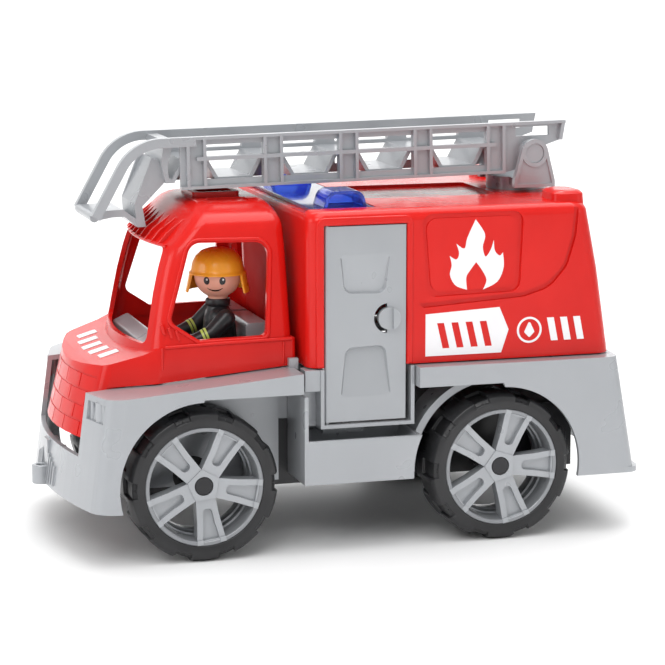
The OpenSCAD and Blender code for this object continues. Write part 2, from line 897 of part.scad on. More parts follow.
// Tyre about the Z axis, its outer face at z = tyre_w
module tyre_solid() {
    base_r = tyre_r - 1.6;
    pitch = 360 / lug_count;
    lug = 23;
    middle = tyre_w / 2;
    difference() {
        rotate_extrude($fn = 120) polygon([[rim_r, 1], [31, 0], [tyre_r - 1.4, 0.6], [tyre_r, 3.4],
            [tyre_r, tyre_w - 3.4], [tyre_r - 1.4, tyre_w - 0.6], [31, tyre_w], [rim_r, tyre_w - 0.6]]);
        // Gaps between the lugs: every other one reaches in from the outer shoulder
        for (i = [0:lug_count - 1]) {
            rotate([0, 0, i * pitch - 101.5 + lug]) rotate_extrude(angle = pitch - lug, $fn = 120)
                polygon([[base_r, middle - 1], [tyre_r + 1, middle - 1], [tyre_r + 1, tyre_w + 1],
                    [31.6, tyre_w + 1], [31.6, tyre_w - 0.9], [base_r, tyre_w - 2.4]]);
            rotate([0, 0, (i + 0.5) * pitch - 101.5 + lug]) rotate_extrude(angle = pitch - lug, $fn = 120)
                polygon([[base_r, 2.4], [31.6, 0.9], [31.6, -1], [tyre_r + 1, -1], [tyre_r + 1, middle + 1],
                    [base_r, middle + 1]]);
        }
    }
}

// Split spoke: two bars that spread outwards
module spoke_bars() {
    for (s = [-1, 1]) {
        polygon([[5.4, s * 2], [26, s * 4.5], [26, s * 7.7], [5.4, s * 5]]);
    }
}

module rim_solid() {
    face = tyre_w - 0.8;
    difference() {
        union() {
            // Barrel and outer ring
            rotate_extrude($fn = 120) polygon([[rim_r - 2.6, 1.6], [rim_r, 1.6], [rim_r, face], [rim_r - 3.2, face],
                [rim_r - 3.2, face - 2.4], [rim_r - 2.6, face - 4]]);
            difference() {
                union() {
                    for (i = [0:spoke_count - 1]) {
                        rotate([0, 0, i * 360 / spoke_count]) {
                            translate([0, 0, face - 7]) linear_extrude(7) spoke_bars();
                            translate([0, 0, face - 7]) linear_extrude(2.4)
                                polygon([[4, -3], [26, -5.2], [26, 5.2], [4, 3]]);
                        }
                    }
                }
                // Dished face of the spokes
                rotate_extrude($fn = 96) polygon([[0, face + 5], [0, face - 3], [7, face - 3], [24, face - 0.8],
                    [30, face - 0.8], [30, face + 5]]);
            }
            translate([0, 0, face - 9]) cylinder(r = 8.8, h = 7.2, $fn = 5);
            translate([0, 0, 0.6]) cylinder(r = 4.6, h = face - 9);
        }
        translate([0, 0, -1]) cylinder(r = axle_r + run, h = 40);
        translate([0, 0, face - 6.4]) cylinder(r = 4.3, h = 10);
    }
}

// Wheel on the left or right end of an axle, turned by spin degrees
module wheel_place(x, side, spin) {
    placed() translate([x, side * wheel_back, tyre_r]) rotate([-90 * side, 0, 0]) rotate([0, 0, spin]) children();
}

module tyre_front_left() { color(black) wheel_place(front_x, 1, 180) tyre_solid(); }

module tyre_front_right() { color(black) wheel_place(front_x, -1, 0) tyre_solid(); }

module tyre_rear_left() { color(black) wheel_place(rear_x, 1, 180) tyre_solid(); }

module tyre_rear_right() { color(black) wheel_place(rear_x, -1, 0) tyre_solid(); }

module rim_front_left() { color(grey) wheel_place(front_x, 1, 7) rim_solid(); }

module rim_front_right() { color(grey) wheel_place(front_x, -1, 7) rim_solid(); }

module rim_rear_left() { color(grey) wheel_place(rear_x, 1, -5) rim_solid(); }

module rim_rear_right() { color(grey) wheel_place(rear_x, -1, -5) rim_solid(); }

module axle(x) {
    placed() color([0.8, 0.8, 0.82]) axle_line(x) cylinder(r = axle_r, h = 2 * (wheel_face - 3.8), center = true);
}

module front_axle() { axle(front_x); }

module rear_axle() { axle(rear_x); }

// Four push-on caps at the ends of the axles
module axle_caps() {
    placed() color(black) for (x = [front_x, rear_x]) {
        both_sides() translate([x, wheel_face - 6.6, tyre_r]) rotate([-90, 0, 0]) difference() {
            cylinder(r = 4, h = 4);
            translate([0, 0, -1]) cylinder(r = axle_r, h = 3.8);
        }
    }
}

// Four screws driven up through the chassis
module body_screws() {
    placed() color([0.75, 0.75, 0.77]) for (x = [-100, 92]) {
        both_sides() translate([x, 30, 31.6]) difference() {
            union() {
                cylinder(r = 2.8, h = 2.3);
                cylinder(r = 1.4, h = 22);
            }
            translate([-0.4, -2, -1]) cube([0.8, 4, 1.8]);
            translate([-2, -0.4, -1]) cube([4, 0.8, 1.8]);
        }
    }
}

// ---- figure ----

module figure_torso() {
    placed() color(black) translate([fig_x, fig_y, 0]) difference() {
        union() {
            hull() {
                translate([0, 0, 78.6]) cylinder(r = 8.6, h = 4, $fn = 32);
                translate([0.6, 0, shoulder_z]) sphere(7.4, $fn = 32);
                for (y = [-4.4, 4.4]) {
                    translate([0.6, y, shoulder_z]) sphere(5.6, $fn = 24);
                }
            }
            translate([1, 0, neck_z - 4.9]) cylinder(r = 5, h = 4.6);
        }
        translate([0.6, 0, shoulder_z]) rotate([90, 0, 0]) cylinder(r = pin_r + run, h = 60, center = true);
        translate([1, 0, neck_z - 9.9]) cylinder(r = neck_pin_r + run, h = 20);
    }
}

module figure_legs() {
    placed() color(black) translate([fig_x, fig_y, 0]) both_sides() {
        hull() {
            translate([12.4, 5.2, 82.2]) sphere(3.2, $fn = 20);
            translate([20, 5.2, 80.2]) sphere(4, $fn = 20);
        }
        hull() {
            translate([21, 5.2, 80]) sphere(4, $fn = 20);
            translate([22, 5.2, 64]) sphere(4, $fn = 20);
        }
        block([18.4, 1.6, floor_z + 0.2], [30, 8.8, 63]);
    }
}

module figure_head() {
    placed() color([0.93, 0.72, 0.62]) translate([fig_x + 1, fig_y, 0]) {
        translate([0, 0, head_z]) sphere(head_r);
        translate([0, 0, neck_z]) cylinder(r = 4.6, h = 4);
        translate([0, 0, neck_z - 8.3]) cylinder(r = neck_pin_r, h = 10);
    }
}

module figure_helmet() {
    r = head_r + 0.3;
    placed() color([0.98, 0.62, 0.12]) translate([fig_x + 1, fig_y, head_z]) rotate([0, 0, 68]) difference() {
        union() {
            translate([0, 0, 2.4]) cylinder(r1 = 14.4, r2 = 12.8, h = 3);
            intersection() {
                sphere(13.2);
                translate([-20, -20, 2.4]) cube([40, 40, 20]);
            }
            // Flap round the back of the neck
            difference() {
                translate([0, 0, -8]) cylinder(r1 = 15.6, r2 = 13.4, h = 11);
                block([2, -20, -10], [20, 20, 2.4]);
            }
        }
        sphere(r);
        translate([0, 0, -20]) cylinder(r = r + 0.4, h = 20.4);
    }
}

// Arm on the left of the figure, its shoulder pin in the torso
module figure_arm() {
    color(black) translate([fig_x + 0.6, fig_y, shoulder_z]) {
        translate([0, 10.6, 0]) rotate([-90, 0, 0]) cylinder(r = 4.8, h = 4.6);
        translate([0, 5, 0]) rotate([-90, 0, 0]) cylinder(r = pin_r, h = 6);
        hull() {
            translate([2, 13.8, -1.6]) sphere(3, $fn = 20);
            translate([15.4, 13.4, -9.4]) sphere(2.8, $fn = 20);
        }
    }
}

module figure_arm_left() { placed() figure_arm(); }

module figure_arm_right() {
    placed() translate([0, 2 * fig_y, 0]) mirror([0, 1, 0]) figure_arm();
}

// ---- printed marks ----

module flame_outline() {
    translate([-60, 118.6]) difference() {
        soft(0.5) polygon([[0, 33], [-4.4, 25], [-3, 16.6], [-9.6, 23.4], [-9.4, 17], [-12.6, 18.4], [-13, 9.6],
            [-8, 1.4], [0, -0.6], [8, 1.2], [12.4, 8.4], [12, 15.6], [8.6, 14.4], [8.4, 21.6], [4.6, 20]]);
        soft(0.5) polygon([[0, 1.4], [-4, 4.4], [-3, 9.6], [-0.6, 14.6], [1.6, 9.4], [4, 6]]);
    }
}

module flame_marks() {
    placed() color(white) both_sides() side_plate(box_y - 0.6, box_y - 0.6 + mark_t) flame_outline();
}

module pentagon() {
    polygon([[-35.6, 88.6], [-35.6, 108.4], [-72, 110.2], [-76.6, 99.4], [-73, 88.6]]);
}

// White arrow panel with slanted bars left out, a ring with a drop and three bars
module panel_marks() {
    placed() color(white) both_sides() side_plate(box_y, box_y + mark_t) {
        difference() {
            pentagon();
            for (i = [0:3]) {
                translate([-44 - i * 7, 92]) polygon([[0, 0], [-3.4, 0], [-0.6, 12], [2.8, 12]]);
            }
        }
        translate([-87, 98.6]) difference() {
            circle(6.2);
            circle(5.2);
        }
        translate([-87, 98]) soft(0.6) polygon([[0, 5], [-2.6, -0.4], [0, -3], [2.6, -0.4]]);
        for (i = [0:2]) {
            translate([-98 - i * 6.6, 93]) polygon([[0, 0], [-3.4, 0], [-1.2, 11], [2.2, 11]]);
        }
    }
}

module hood_stripes() {
    long = 9;
    wide = 6.9;
    arc_r = 130;
    placed() color(white) for (i = [0:4]) {
        y = -31 + i * 13.3;
        x = 112.6 + sqrt(arc_r * arc_r - pow(y + wide / 2, 2)) - arc_r;
        side_plate(y, y + wide) polygon([[x - long, hood_z(x - long)], [x, hood_z(x)],
            [x, hood_z(x) + mark_t], [x - long, hood_z(x - long) + mark_t]]);
    }
}

chassis();
cab_tub();
front_bumper();
tow_eye();
rear_skirt();
side_step_left();
side_step_right();
door_frame_left();
door_frame_right();
cab_shell();
cab_seat();
dashboard();
steering_wheel();
box_shell();
light_bar();
turntable();
turntable_clip();
ladder_rail_left();
ladder_rail_right();
ladder_deck();
ladder_nose();
left_door();
right_door();
tyre_front_left();
tyre_front_right();
tyre_rear_left();
tyre_rear_right();
rim_front_left();
rim_front_right();
rim_rear_left();
rim_rear_right();
front_axle();
rear_axle();
axle_caps();
body_screws();
figure_torso();
figure_legs();
figure_head();
figure_helmet();
figure_arm_left();
figure_arm_right();
flame_marks();
panel_marks();
hood_stripes();
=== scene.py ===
"""Looks for the toy fire engine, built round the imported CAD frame. Metres, +X front, +Y left, +Z up."""
import json
import math

import bmesh
import bpy
from mathutils import Matrix, Vector


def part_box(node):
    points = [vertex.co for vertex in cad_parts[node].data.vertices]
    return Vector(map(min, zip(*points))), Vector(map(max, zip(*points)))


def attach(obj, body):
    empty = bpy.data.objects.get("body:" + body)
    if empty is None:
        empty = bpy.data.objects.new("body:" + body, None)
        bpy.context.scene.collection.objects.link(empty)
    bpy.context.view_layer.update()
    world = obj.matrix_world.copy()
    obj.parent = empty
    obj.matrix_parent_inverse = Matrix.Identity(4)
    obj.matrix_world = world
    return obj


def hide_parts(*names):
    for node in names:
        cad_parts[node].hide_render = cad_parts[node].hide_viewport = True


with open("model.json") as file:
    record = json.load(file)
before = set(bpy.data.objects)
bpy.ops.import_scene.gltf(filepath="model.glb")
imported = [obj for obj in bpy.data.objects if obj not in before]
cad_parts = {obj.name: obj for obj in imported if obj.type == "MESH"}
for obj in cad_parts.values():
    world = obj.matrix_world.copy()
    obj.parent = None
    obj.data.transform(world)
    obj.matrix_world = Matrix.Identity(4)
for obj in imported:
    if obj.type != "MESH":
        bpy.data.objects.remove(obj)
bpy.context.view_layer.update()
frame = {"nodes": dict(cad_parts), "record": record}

MM = 0.001
NOISE_LOW, NOISE_HIGH = 0.3, 0.7

# ---- materials ----


def new_material(name):
    """A node material with its Principled shader and node tree."""
    mat = bpy.data.materials.new(name)
    mat.use_nodes = True
    tree = mat.node_tree
    shader = next(n for n in tree.nodes if n.type == "BSDF_PRINCIPLED")
    return mat, tree, shader


def noise(tree, scale, detail=2.0, roughness=0.5, stretch=(1, 1, 1)):
    """Noise on object coordinates in millimetres, stretched along the axes."""
    coord = tree.nodes.new("ShaderNodeTexCoord")
    mapping = tree.nodes.new("ShaderNodeMapping")
    mapping.inputs["Scale"].default_value = [1000 * s for s in stretch]
    node = tree.nodes.new("ShaderNodeTexNoise")
    node.inputs["Scale"].default_value = scale
    node.inputs["Detail"].default_value = detail
    node.inputs["Roughness"].default_value = roughness
    tree.links.new(coord.outputs["Object"], mapping.inputs["Vector"])
    tree.links.new(mapping.outputs["Vector"], node.inputs["Vector"])
    return node.outputs["Fac"]


def spread(tree, fac, low, high):
    """Maps the middle of a noise to low..high."""
    node = tree.nodes.new("ShaderNodeMapRange")
    node.inputs["From Min"].default_value = NOISE_LOW
    node.inputs["From Max"].default_value = NOISE_HIGH
    node.inputs["To Min"].default_value = low
    node.inputs["To Max"].default_value = high
    tree.links.new(fac, node.inputs["Value"])
    return node.outputs["Result"]


def shade(tree, fac, dark, light):
    """A colour ramp between two colours over the middle of a noise."""
    ramp = tree.nodes.new("ShaderNodeValToRGB")
    ramp.color_ramp.elements[0].position = NOISE_LOW
    ramp.color_ramp.elements[0].color = (*dark, 1)
    ramp.color_ramp.elements[1].position = NOISE_HIGH
    ramp.color_ramp.elements[1].color = (*light, 1)
    tree.links.new(fac, ramp.inputs["Fac"])
    return ramp.outputs["Color"]


def bump(tree, shader, fac, strength, distance):
    node = tree.nodes.new("ShaderNodeBump")
    node.inputs["Strength"].default_value = strength
    node.inputs["Distance"].default_value = distance
    tree.links.new(fac, node.inputs["Height"])
    tree.links.new(node.outputs["Normal"], shader.inputs["Normal"])


def moulded(name, dark, light, rough=(0.2, 0.3), coat=0.0, grain=1.6, depth=0.05, subsurface=0.0, gloss=0.5):
    """Injection-moulded plastic: slight flow marks in colour and gloss, and a fine orange-peel skin."""
    mat, tree, shader = new_material(name)
    flow = noise(tree, 0.035, 3, 0.55, (1, 1, 0.5))
    tree.links.new(shade(tree, flow, dark, light), shader.inputs["Base Color"])
    wear = noise(tree, 0.06, 2, 0.5)
    tree.links.new(spread(tree, wear, *rough), shader.inputs["Roughness"])
    bump(tree, shader, noise(tree, grain, 2, 0.5), depth, 0.0001)
    shader.inputs["Coat Weight"].default_value = coat
    shader.inputs["Coat Roughness"].default_value = 0.08
    shader.inputs["Specular IOR Level"].default_value = gloss
    shader.inputs["Subsurface Weight"].default_value = subsurface
    shader.inputs["Subsurface Radius"].default_value = (0.004, 0.002, 0.001)
    shader.inputs["Subsurface Scale"].default_value = 1.0
    return mat


def make_materials():
    mats = {}
    mats["red"] = moulded("red_plastic", (0.62, 0.010, 0.007), (0.70, 0.014, 0.010), (0.16, 0.26), gloss=0.32)
    # A darker, matte copy of the red for the cab's inner rear wall; its darker colour is painted shade
    mats["inside"] = moulded("red_painted_shade", (0.50, 0.008, 0.006), (0.56, 0.011, 0.008), (0.6, 0.7), gloss=0.08)
    mats["grey"] = moulded("grey_plastic", (0.375, 0.39, 0.41), (0.395, 0.41, 0.43), (0.27, 0.31), 0.15)
    # A darker copy of the silver grey for the rim barrels behind the spokes; the darker colour is painted shade in
    # the wheels' recesses
    mats["rim"] = moulded("rim_silver_painted_shade", (0.25, 0.26, 0.275), (0.27, 0.28, 0.295), (0.27, 0.31), 0.15)
    for key in ("grey", "rim"):
        silver = next(n for n in mats[key].node_tree.nodes if n.type == "BSDF_PRINCIPLED")
        silver.inputs["Metallic"].default_value = 0.3
    mats["black"] = moulded("black_plastic", (0.010, 0.010, 0.012), (0.018, 0.018, 0.021), (0.3, 0.42))
    mats["tyre"] = moulded("tyre_black", (0.011, 0.011, 0.012), (0.022, 0.022, 0.024), (0.32, 0.5),
                           grain=0.9, depth=0.12)
    mats["skin"] = moulded("skin", (0.83, 0.39, 0.28), (0.87, 0.44, 0.33), (0.36, 0.44),
                           grain=1.2, depth=0.04, subsurface=0.15)
    mats["orange"] = moulded("orange_plastic", (0.97, 0.37, 0.02), (0.99, 0.43, 0.03), (0.24, 0.32), 0.15)
    mats["white"] = moulded("white_mark", (0.86, 0.85, 0.87), (0.9, 0.89, 0.91), (0.3, 0.4))
    mats["lime"] = moulded("lime_print", (0.52, 0.62, 0.12), (0.58, 0.68, 0.16), (0.32, 0.42))
    mats["ink"] = moulded("ink_print", (0.008, 0.007, 0.008), (0.014, 0.012, 0.013), (0.2, 0.3))
    steel, tree, shader = new_material("steel")
    metal = shade(tree, noise(tree, 0.4, 3), (0.5, 0.5, 0.52), (0.62, 0.62, 0.64))
    tree.links.new(metal, shader.inputs["Base Color"])
    brushed = noise(tree, 2.5, 2, 0.5, (1, 0.05, 1))
    tree.links.new(spread(tree, brushed, 0.2, 0.4), shader.inputs["Roughness"])
    shader.inputs["Metallic"].default_value = 1.0
    mats["steel"] = steel
    blue, tree, shader = new_material("blue_clear")
    flow = noise(tree, 0.05, 3)
    tree.links.new(shade(tree, flow, (0.05, 0.13, 0.85), (0.08, 0.18, 0.95)), shader.inputs["Base Color"])
    tree.links.new(spread(tree, noise(tree, 0.2, 4), 0.06, 0.14), shader.inputs["Roughness"])
    shader.inputs["Transmission Weight"].default_value = 0.85
    shader.inputs["IOR"].default_value = 1.45
    shader.inputs["Coat Weight"].default_value = 0.4
    mats["blue"] = blue
    return mats


MATS = make_materials()
SLOT_OF = {
    "grey_plastic": "grey",
    "red_plastic": "red",
    "blue_clear": "blue",
    "black_plastic": "black",
    "tyre_black": "tyre",
    "steel": "steel",
    "white_mark": "white",
    "skin": "skin",
    "orange_plastic": "orange",
}
NODE_SLOT = {row["node"]: row["material_slot"] for row in frame["record"]["subparts"]}


def paint(obj, key):
    obj.data.materials.clear()
    obj.data.materials.append(MATS[key])


def soften(obj, width=0.45, segments=2, angle=30):
    """Welds a mesh and rounds its edges, as a mould does."""
    for poly in obj.data.polygons:
        poly.use_smooth = True
    weld = obj.modifiers.new("Weld", "WELD")
    weld.merge_threshold = 0.00002
    bev = obj.modifiers.new("Bevel", "BEVEL")
    bev.width = width * MM
    bev.segments = segments
    bev.limit_method = "ANGLE"
    bev.angle_limit = math.radians(angle)
    bev.use_clamp_overlap = True
    bev.harden_normals = False
    normals = obj.modifiers.new("Normals", "WEIGHTED_NORMAL")
    normals.keep_sharp = False
    normals.weight = 80


BROAD_EDGES = {"front_bumper": 1.1, "rear_skirt": 1.1, "cab_seat": 2.4}


def dress_frame():
    """Every CAD node gets its material and soft edges."""
    for name, obj in frame["nodes"].items():
        paint(obj, SLOT_OF[NODE_SLOT[name]])
        soften(obj, BROAD_EDGES.get(name, 0.45), 3 if name in BROAD_EDGES else 2)


dress_frame()


# ---- modelling helpers; lengths in millimetres, X from the middle between the axles ----

FRONT_X = sum(c.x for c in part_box("tyre_front_left")) / 2
REAR_X = sum(c.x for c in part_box("tyre_rear_left")) / 2
SHIFT = (FRONT_X + REAR_X) / 2 / MM


def metres(point):
    return Vector((point[0] + SHIFT, point[1], point[2])) * MM


def smooth(obj, angle=35):
    """Smooth shading with creases kept where faces meet sharply."""
    mesh = obj.data
    for poly in mesh.polygons:
        poly.use_smooth = True
    mesh.set_sharp_from_angle(angle=math.radians(angle))


def as_object(name, bm, key):
    mesh = bpy.data.meshes.new(name)
    bmesh.ops.recalc_face_normals(bm, faces=bm.faces)
    bm.to_mesh(mesh)
    bm.free()
    obj = bpy.data.objects.new(name, mesh)
    bpy.context.scene.collection.objects.link(obj)
    paint(obj, key)
    return obj


def loft(name, rings, key="grey"):
    """A closed skin through rings that have the same number of points."""
    bm = bmesh.new()
    rows = [[bm.verts.new(metres(p)) for p in ring] for ring in rings]
    count = len(rows[0])
    for low, high in zip(rows, rows[1:]):
        for i in range(count):
            j = (i + 1) % count
            bm.faces.new((low[i], low[j], high[j], high[i]))
    bm.faces.new(rows[0][::-1])
    bm.faces.new(rows[-1])
    return as_object(name, bm, key)


PLACES = {
    "x": lambda u, v, w: (w, u, v),
    "y": lambda u, v, w: (u, w, v),
    "z": lambda u, v, w: (u, v, w),
}


def prism(name, outline, axis, low, high, key="grey"):
    """An outline in the plane across an axis, from low to high along it."""
    place = PLACES[axis]
    return loft(name, [[place(u, v, w) for u, v in outline] for w in (low, high)], key)


def brick(name, low, high):
    outline = [(low[0], low[1]), (high[0], low[1]), (high[0], high[1]), (low[0], high[1])]
    return prism(name, outline, "z", low[2], high[2])


def rounded(points, radius, steps=6):
    """Rounds the corners of an outline; radius is one number or one for each corner."""
    out = []
    for i, point in enumerate(points):
        corner = Vector(point)
        before = Vector(points[i - 1]) - corner
        after = Vector(points[(i + 1) % len(points)]) - corner
        r = radius[i] if isinstance(radius, (list, tuple)) else radius
        half = before.angle(after) / 2
        if r <= 0 or half > math.radians(89):
            out += [tuple(corner)]
            continue
        cut = min(r / math.tan(half), before.length * 0.49, after.length * 0.49)
        r = cut * math.tan(half)
        centre = corner + (before.normalized() + after.normalized()).normalized() * (r / math.sin(half))
        start = corner + before.normalized() * cut - centre
        stop = corner + after.normalized() * cut - centre
        sweep = start.angle(stop)
        for k in range(steps + 1):
            t = k / steps
            q = centre + (start * math.sin((1 - t) * sweep) + stop * math.sin(t * sweep)) / math.sin(sweep)
            out.append((q.x, q.y))
    return out


def box_outline(u0, v0, u1, v1, radius=0):
    return rounded([(u0, v0), (u1, v0), (u1, v1), (u0, v1)], radius)


def circle(u, v, radius, count):
    return [(u + radius * math.cos(a), v + radius * math.sin(a))
            for a in (2 * math.pi * k / count for k in range(count))]


def arc_points(u, v, radius, start, stop, steps):
    """Points of an arc between two angles in degrees."""
    return [(u + radius * math.cos(a), v + radius * math.sin(a))
            for a in (math.radians(start + (stop - start) * k / steps) for k in range(steps + 1))]


def span(side, inner, outer):
    """The lower and upper Y of a stretch on one side of the toy."""
    return sorted((side * inner, side * outer))


def baked(obj):
    """Applies an object's modifiers."""
    graph = bpy.context.evaluated_depsgraph_get()
    mesh = bpy.data.meshes.new_from_object(obj.evaluated_get(graph))
    obj.modifiers.clear()
    obj.data = mesh
    return obj


def combine(target, other, mode):
    mod = target.modifiers.new("combine", "BOOLEAN")
    mod.object = other
    mod.operation = mode
    mod.solver = "EXACT"
    baked(target)
    bpy.data.objects.remove(other)
    return target


def cut(target, *others):
    for other in others:
        combine(target, other, "DIFFERENCE")
    return target


def add(target, *others):
    for other in others:
        combine(target, other, "UNION")
    return target


def joined(name, parts):
    """One object from several, each keeping its own material."""
    bm = bmesh.new()
    mats = []
    for part in parts:
        start = len(bm.faces)
        bm.from_mesh(part.data)
        bm.faces.ensure_lookup_table()
        mat = part.data.materials[0]
        if mat not in mats:
            mats.append(mat)
        for face in bm.faces[start:]:
            face.material_index = mats.index(mat)
    for part in parts:
        bpy.data.objects.remove(part)
    mesh = bpy.data.meshes.new(name)
    bm.to_mesh(mesh)
    bm.free()
    obj = bpy.data.objects.new(name, mesh)
    bpy.context.scene.collection.objects.link(obj)
    for mat in mats:
        mesh.materials.append(mat)
    return obj


def tube(name, points, radius, key, closed=False, sides=10):
    """A round bead that follows a path."""
    count = len(points)
    path = [metres(p) for p in points]
    rings = []
    normal = None
    for i, here in enumerate(path):
        before = path[i - 1] if closed or i > 0 else here
        after = path[(i + 1) % count] if closed or i < count - 1 else here
        along = (after - before).normalized()
        if normal is None:
            normal = along.orthogonal().normalized()
        normal = (normal - along * normal.dot(along)).normalized()
        side = along.cross(normal)
        rings.append([here + (normal * math.cos(a) + side * math.sin(a)) * radius * MM
                      for a in (2 * math.pi * k / sides for k in range(sides))])
    bm = bmesh.new()
    rows = [[bm.verts.new(p) for p in ring] for ring in rings]
    pairs = list(zip(rows, rows[1:]))
    if closed:
        pairs.append((rows[-1], rows[0]))
    for low, high in pairs:
        for k in range(sides):
            j = (k + 1) % sides
            bm.faces.new((low[k], low[j], high[j], high[k]))
    if not closed:
        bm.faces.new(rows[0][::-1])
        bm.faces.new(rows[-1])
    obj = as_object(name, bm, key)
    smooth(obj, 60)
    return obj


def lathe(name, profile, key, segments=48, arc=360):
    """Turns a profile of radius and height about the Z axis through the origin."""
    bm = bmesh.new()
    full = arc == 360
    count = segments if full else segments + 1
    rows = []
    for i in range(count):
        a = math.radians(arc) * i / segments
        rows.append([bm.verts.new(Vector((r * math.cos(a), r * math.sin(a), z)) * MM) for r, z in profile])
    for i in range(segments):
        low, high = rows[i], rows[(i + 1) % count]
        for k in range(len(profile) - 1):
            bm.faces.new((low[k], high[k], high[k + 1], low[k + 1]))
    bmesh.ops.remove_doubles(bm, verts=bm.verts, dist=1e-6)
    return as_object(name, bm, key)


def blob(name, parts, key, voxel=0.5, passes=6):
    """One smooth moulded form from capsules, each two points and two radii."""
    bm = bmesh.new()
    for start, stop, r0, r1 in parts:
        a, b = metres(start), metres(stop)
        along = b - a
        for k in range(9):
            t = k / 8
            centre = a + along * t
            radius = (r0 + (r1 - r0) * t) * MM
            bmesh.ops.create_icosphere(bm, subdivisions=3, radius=radius, matrix=Matrix.Translation(centre))
    obj = as_object(name, bm, key)
    remesh = obj.modifiers.new("remesh", "REMESH")
    remesh.mode = "VOXEL"
    remesh.voxel_size = voxel * MM
    soft = obj.modifiers.new("soft", "SMOOTH")
    soft.iterations = passes
    soft.factor = 0.5
    baked(obj)
    for poly in obj.data.polygons:
        poly.use_smooth = True
    return obj


def place(obj, body, slot, replaces=()):
    """Fixes a finished piece to its body and hides the CAD nodes it stands for; the material slot is not used."""
    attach(obj, body)
    if replaces:
        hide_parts(*replaces)
    return obj


# ---- rear box ----

BOX_Y = 68
ROOF_Z = 158
DOOR_X0, DOOR_X1 = -26, 13
DOOR_Z1 = 151
BOX_X = 20.6
CAB_X = 23
PIVOT_X = -105
WALL = 2.4
SKIN = 1.8
GROOVE = 2.2
# A height well over the roof, where cutting forms end
ABOVE = 175


def box_ring(z, tail, front, half, inset):
    """Plan of the box at one height: straight sides, a gently bowed rear and round corners."""
    tail, front, half = tail + inset, front - inset, half - inset
    bow = 480
    corner = 7
    sag = half * half / 2 / bow
    outline = [(front, -half), (front, half), (tail + sag, half)]
    radii = [corner, corner, corner + 1]
    for k in range(1, 6):
        y = half * (1 - k / 3)
        outline.append((tail + y * y / 2 / bow, y))
        radii.append(0)
    outline.append((tail + sag, -half))
    radii.append(corner + 1)
    return [(x, y, z) for x, y in rounded(outline, [max(r - inset, 1) if r else 0 for r in radii])]


def box_form(name, inset, bottom):
    """The tapering box with a rounded edge to its roof."""
    rings = [box_ring(bottom, -133.2, BOX_X, BOX_Y, inset), box_ring(126, -127, BOX_X, BOX_Y, inset)]
    edge = 5.4
    for k in range(6):
        a = math.radians(90 * k / 5)
        drop = edge * (1 - math.cos(a))
        z = ROOF_Z - edge + edge * math.sin(a) - inset
        rings.append(box_ring(z, -121.6 + drop, BOX_X - drop * 0.7, BOX_Y - drop, inset))
    return loft(name, rings, "red")


def flame_panel(g):
    """The pressed field behind the flame, grown by g all round."""
    return rounded([(-37.4 + g, 117.4 - g), (-81 - g, 118.4 - g), (-82.6 - g, 154 + g), (-34.6 + g, 154 + g)], 5)


def swoosh(g):
    """The big pressed line, grown by g: along under the flame, then up the rear in a sweep."""
    return rounded([(-31.5 - g, ABOVE), (-31.5 - g, 112.4 - g), (-84, 115.6 - g), (-96 - g, 119.4 - g),
                    (-104.6 - g, 128), (-108.8 - g, 142), (-112 - g, ABOVE)], [0, 3, 14, 14, 14, 20, 0])


def make_box():
    shell = box_form("box_body", 0, 85.6)
    # Raised ends of the roof on each side of the turntable, with a rounded top edge
    rise, edge = 5, 3.4
    for side in (-1, 1):
        rings = []
        for k in range(4):
            a = math.radians(90 * k / 3)
            shrink = edge * (1 - math.cos(a))
            z = ROOF_Z + rise - edge + edge * math.sin(a) if k else ROOF_Z - 3
            outline = box_outline(-117.4 + shrink, 41 + shrink, -101 - shrink, 62.4 - shrink, 5)
            rings.append([(x, side * y, z) for x, y in outline])
        add(shell, loft("bump", rings))
    cut(shell, box_form("hollow", WALL, 83))
    cut(shell, prism("tray", box_outline(-15, -57, 40, 57), "z", ROOF_Z - SKIN, ABOVE))
    cut(shell, prism("tray", box_outline(-86, -25, -20, 25, 2), "z", ROOF_Z - 1.6, ABOVE))
    add(shell, prism("tray_floor", box_outline(-16, -59, BOX_X - 2, 59), "z", ROOF_Z - 3.6, ROOF_Z - SKIN))
    add(shell, prism("well_floor", box_outline(-87, -27, -19, 27), "z", ROOF_Z - 3.4, ROOF_Z - 1.6))
    add(shell, prism("boss", circle(PIVOT_X, 0, 16.4, 48), "z", 142.2, 157.4))
    cut(shell, prism("bearing", circle(PIVOT_X, 0, 14.9, 48), "z", 150, ABOVE))
    cut(shell, prism("neck", circle(PIVOT_X, 0, 7.1, 32), "z", 140, ABOVE))
    for side in (-1, 1):
        doorway = box_outline(DOOR_X0 - 0.4, 40, DOOR_X1 + 0.4, DOOR_Z1 + 0.4)
        cut(shell, prism("doorway", doorway, "y", *span(side, BOX_Y - 9, BOX_Y + 3)))
        cut(shell, prism("flame_panel", flame_panel(0), "y", *span(side, BOX_Y - 0.6, BOX_Y + 3)))
        for line in (swoosh, flame_panel):
            low, high = span(side, BOX_Y - 1.3, BOX_Y + 3)
            groove = prism("groove", line(GROOVE / 2), "y", low, high)
            cut(groove, prism("land", line(-GROOVE / 2), "y", low - 1, high + 1))
            cut(shell, groove)
    soften(shell, 0.6, 3, 28)
    frames = []
    for side in (-1, 1):
        x0, x1 = DOOR_X0 - 3.4, DOOR_X1 + 4.2
        outer = rounded([(x0, 85.8), (x0, 155.2), (x1, 155.2), (x1, 85.8)], [0, 4, 4, 0])
        low, high = span(side, BOX_Y - WALL, BOX_Y + 1)
        ring = prism("door_frame", outer, "y", low, high, "red")
        hole = box_outline(DOOR_X0 - 0.5, 80, DOOR_X1 + 0.5, DOOR_Z1 + 0.5, 0)
        cut(ring, prism("hole", hole, "y", low - 1, high + 1))
        frames.append(ring)
    moulding = joined("box_door_frames", frames)
    soften(moulding, 0.9, 4, 40)
    place(moulding, "truck", "red_plastic")
    place(shell, "truck", "red_plastic", ["box_shell"])


# ---- cab ----

CAB_Y = 55
NOSE_HALF = 47.6
CABIN_ARC = 150


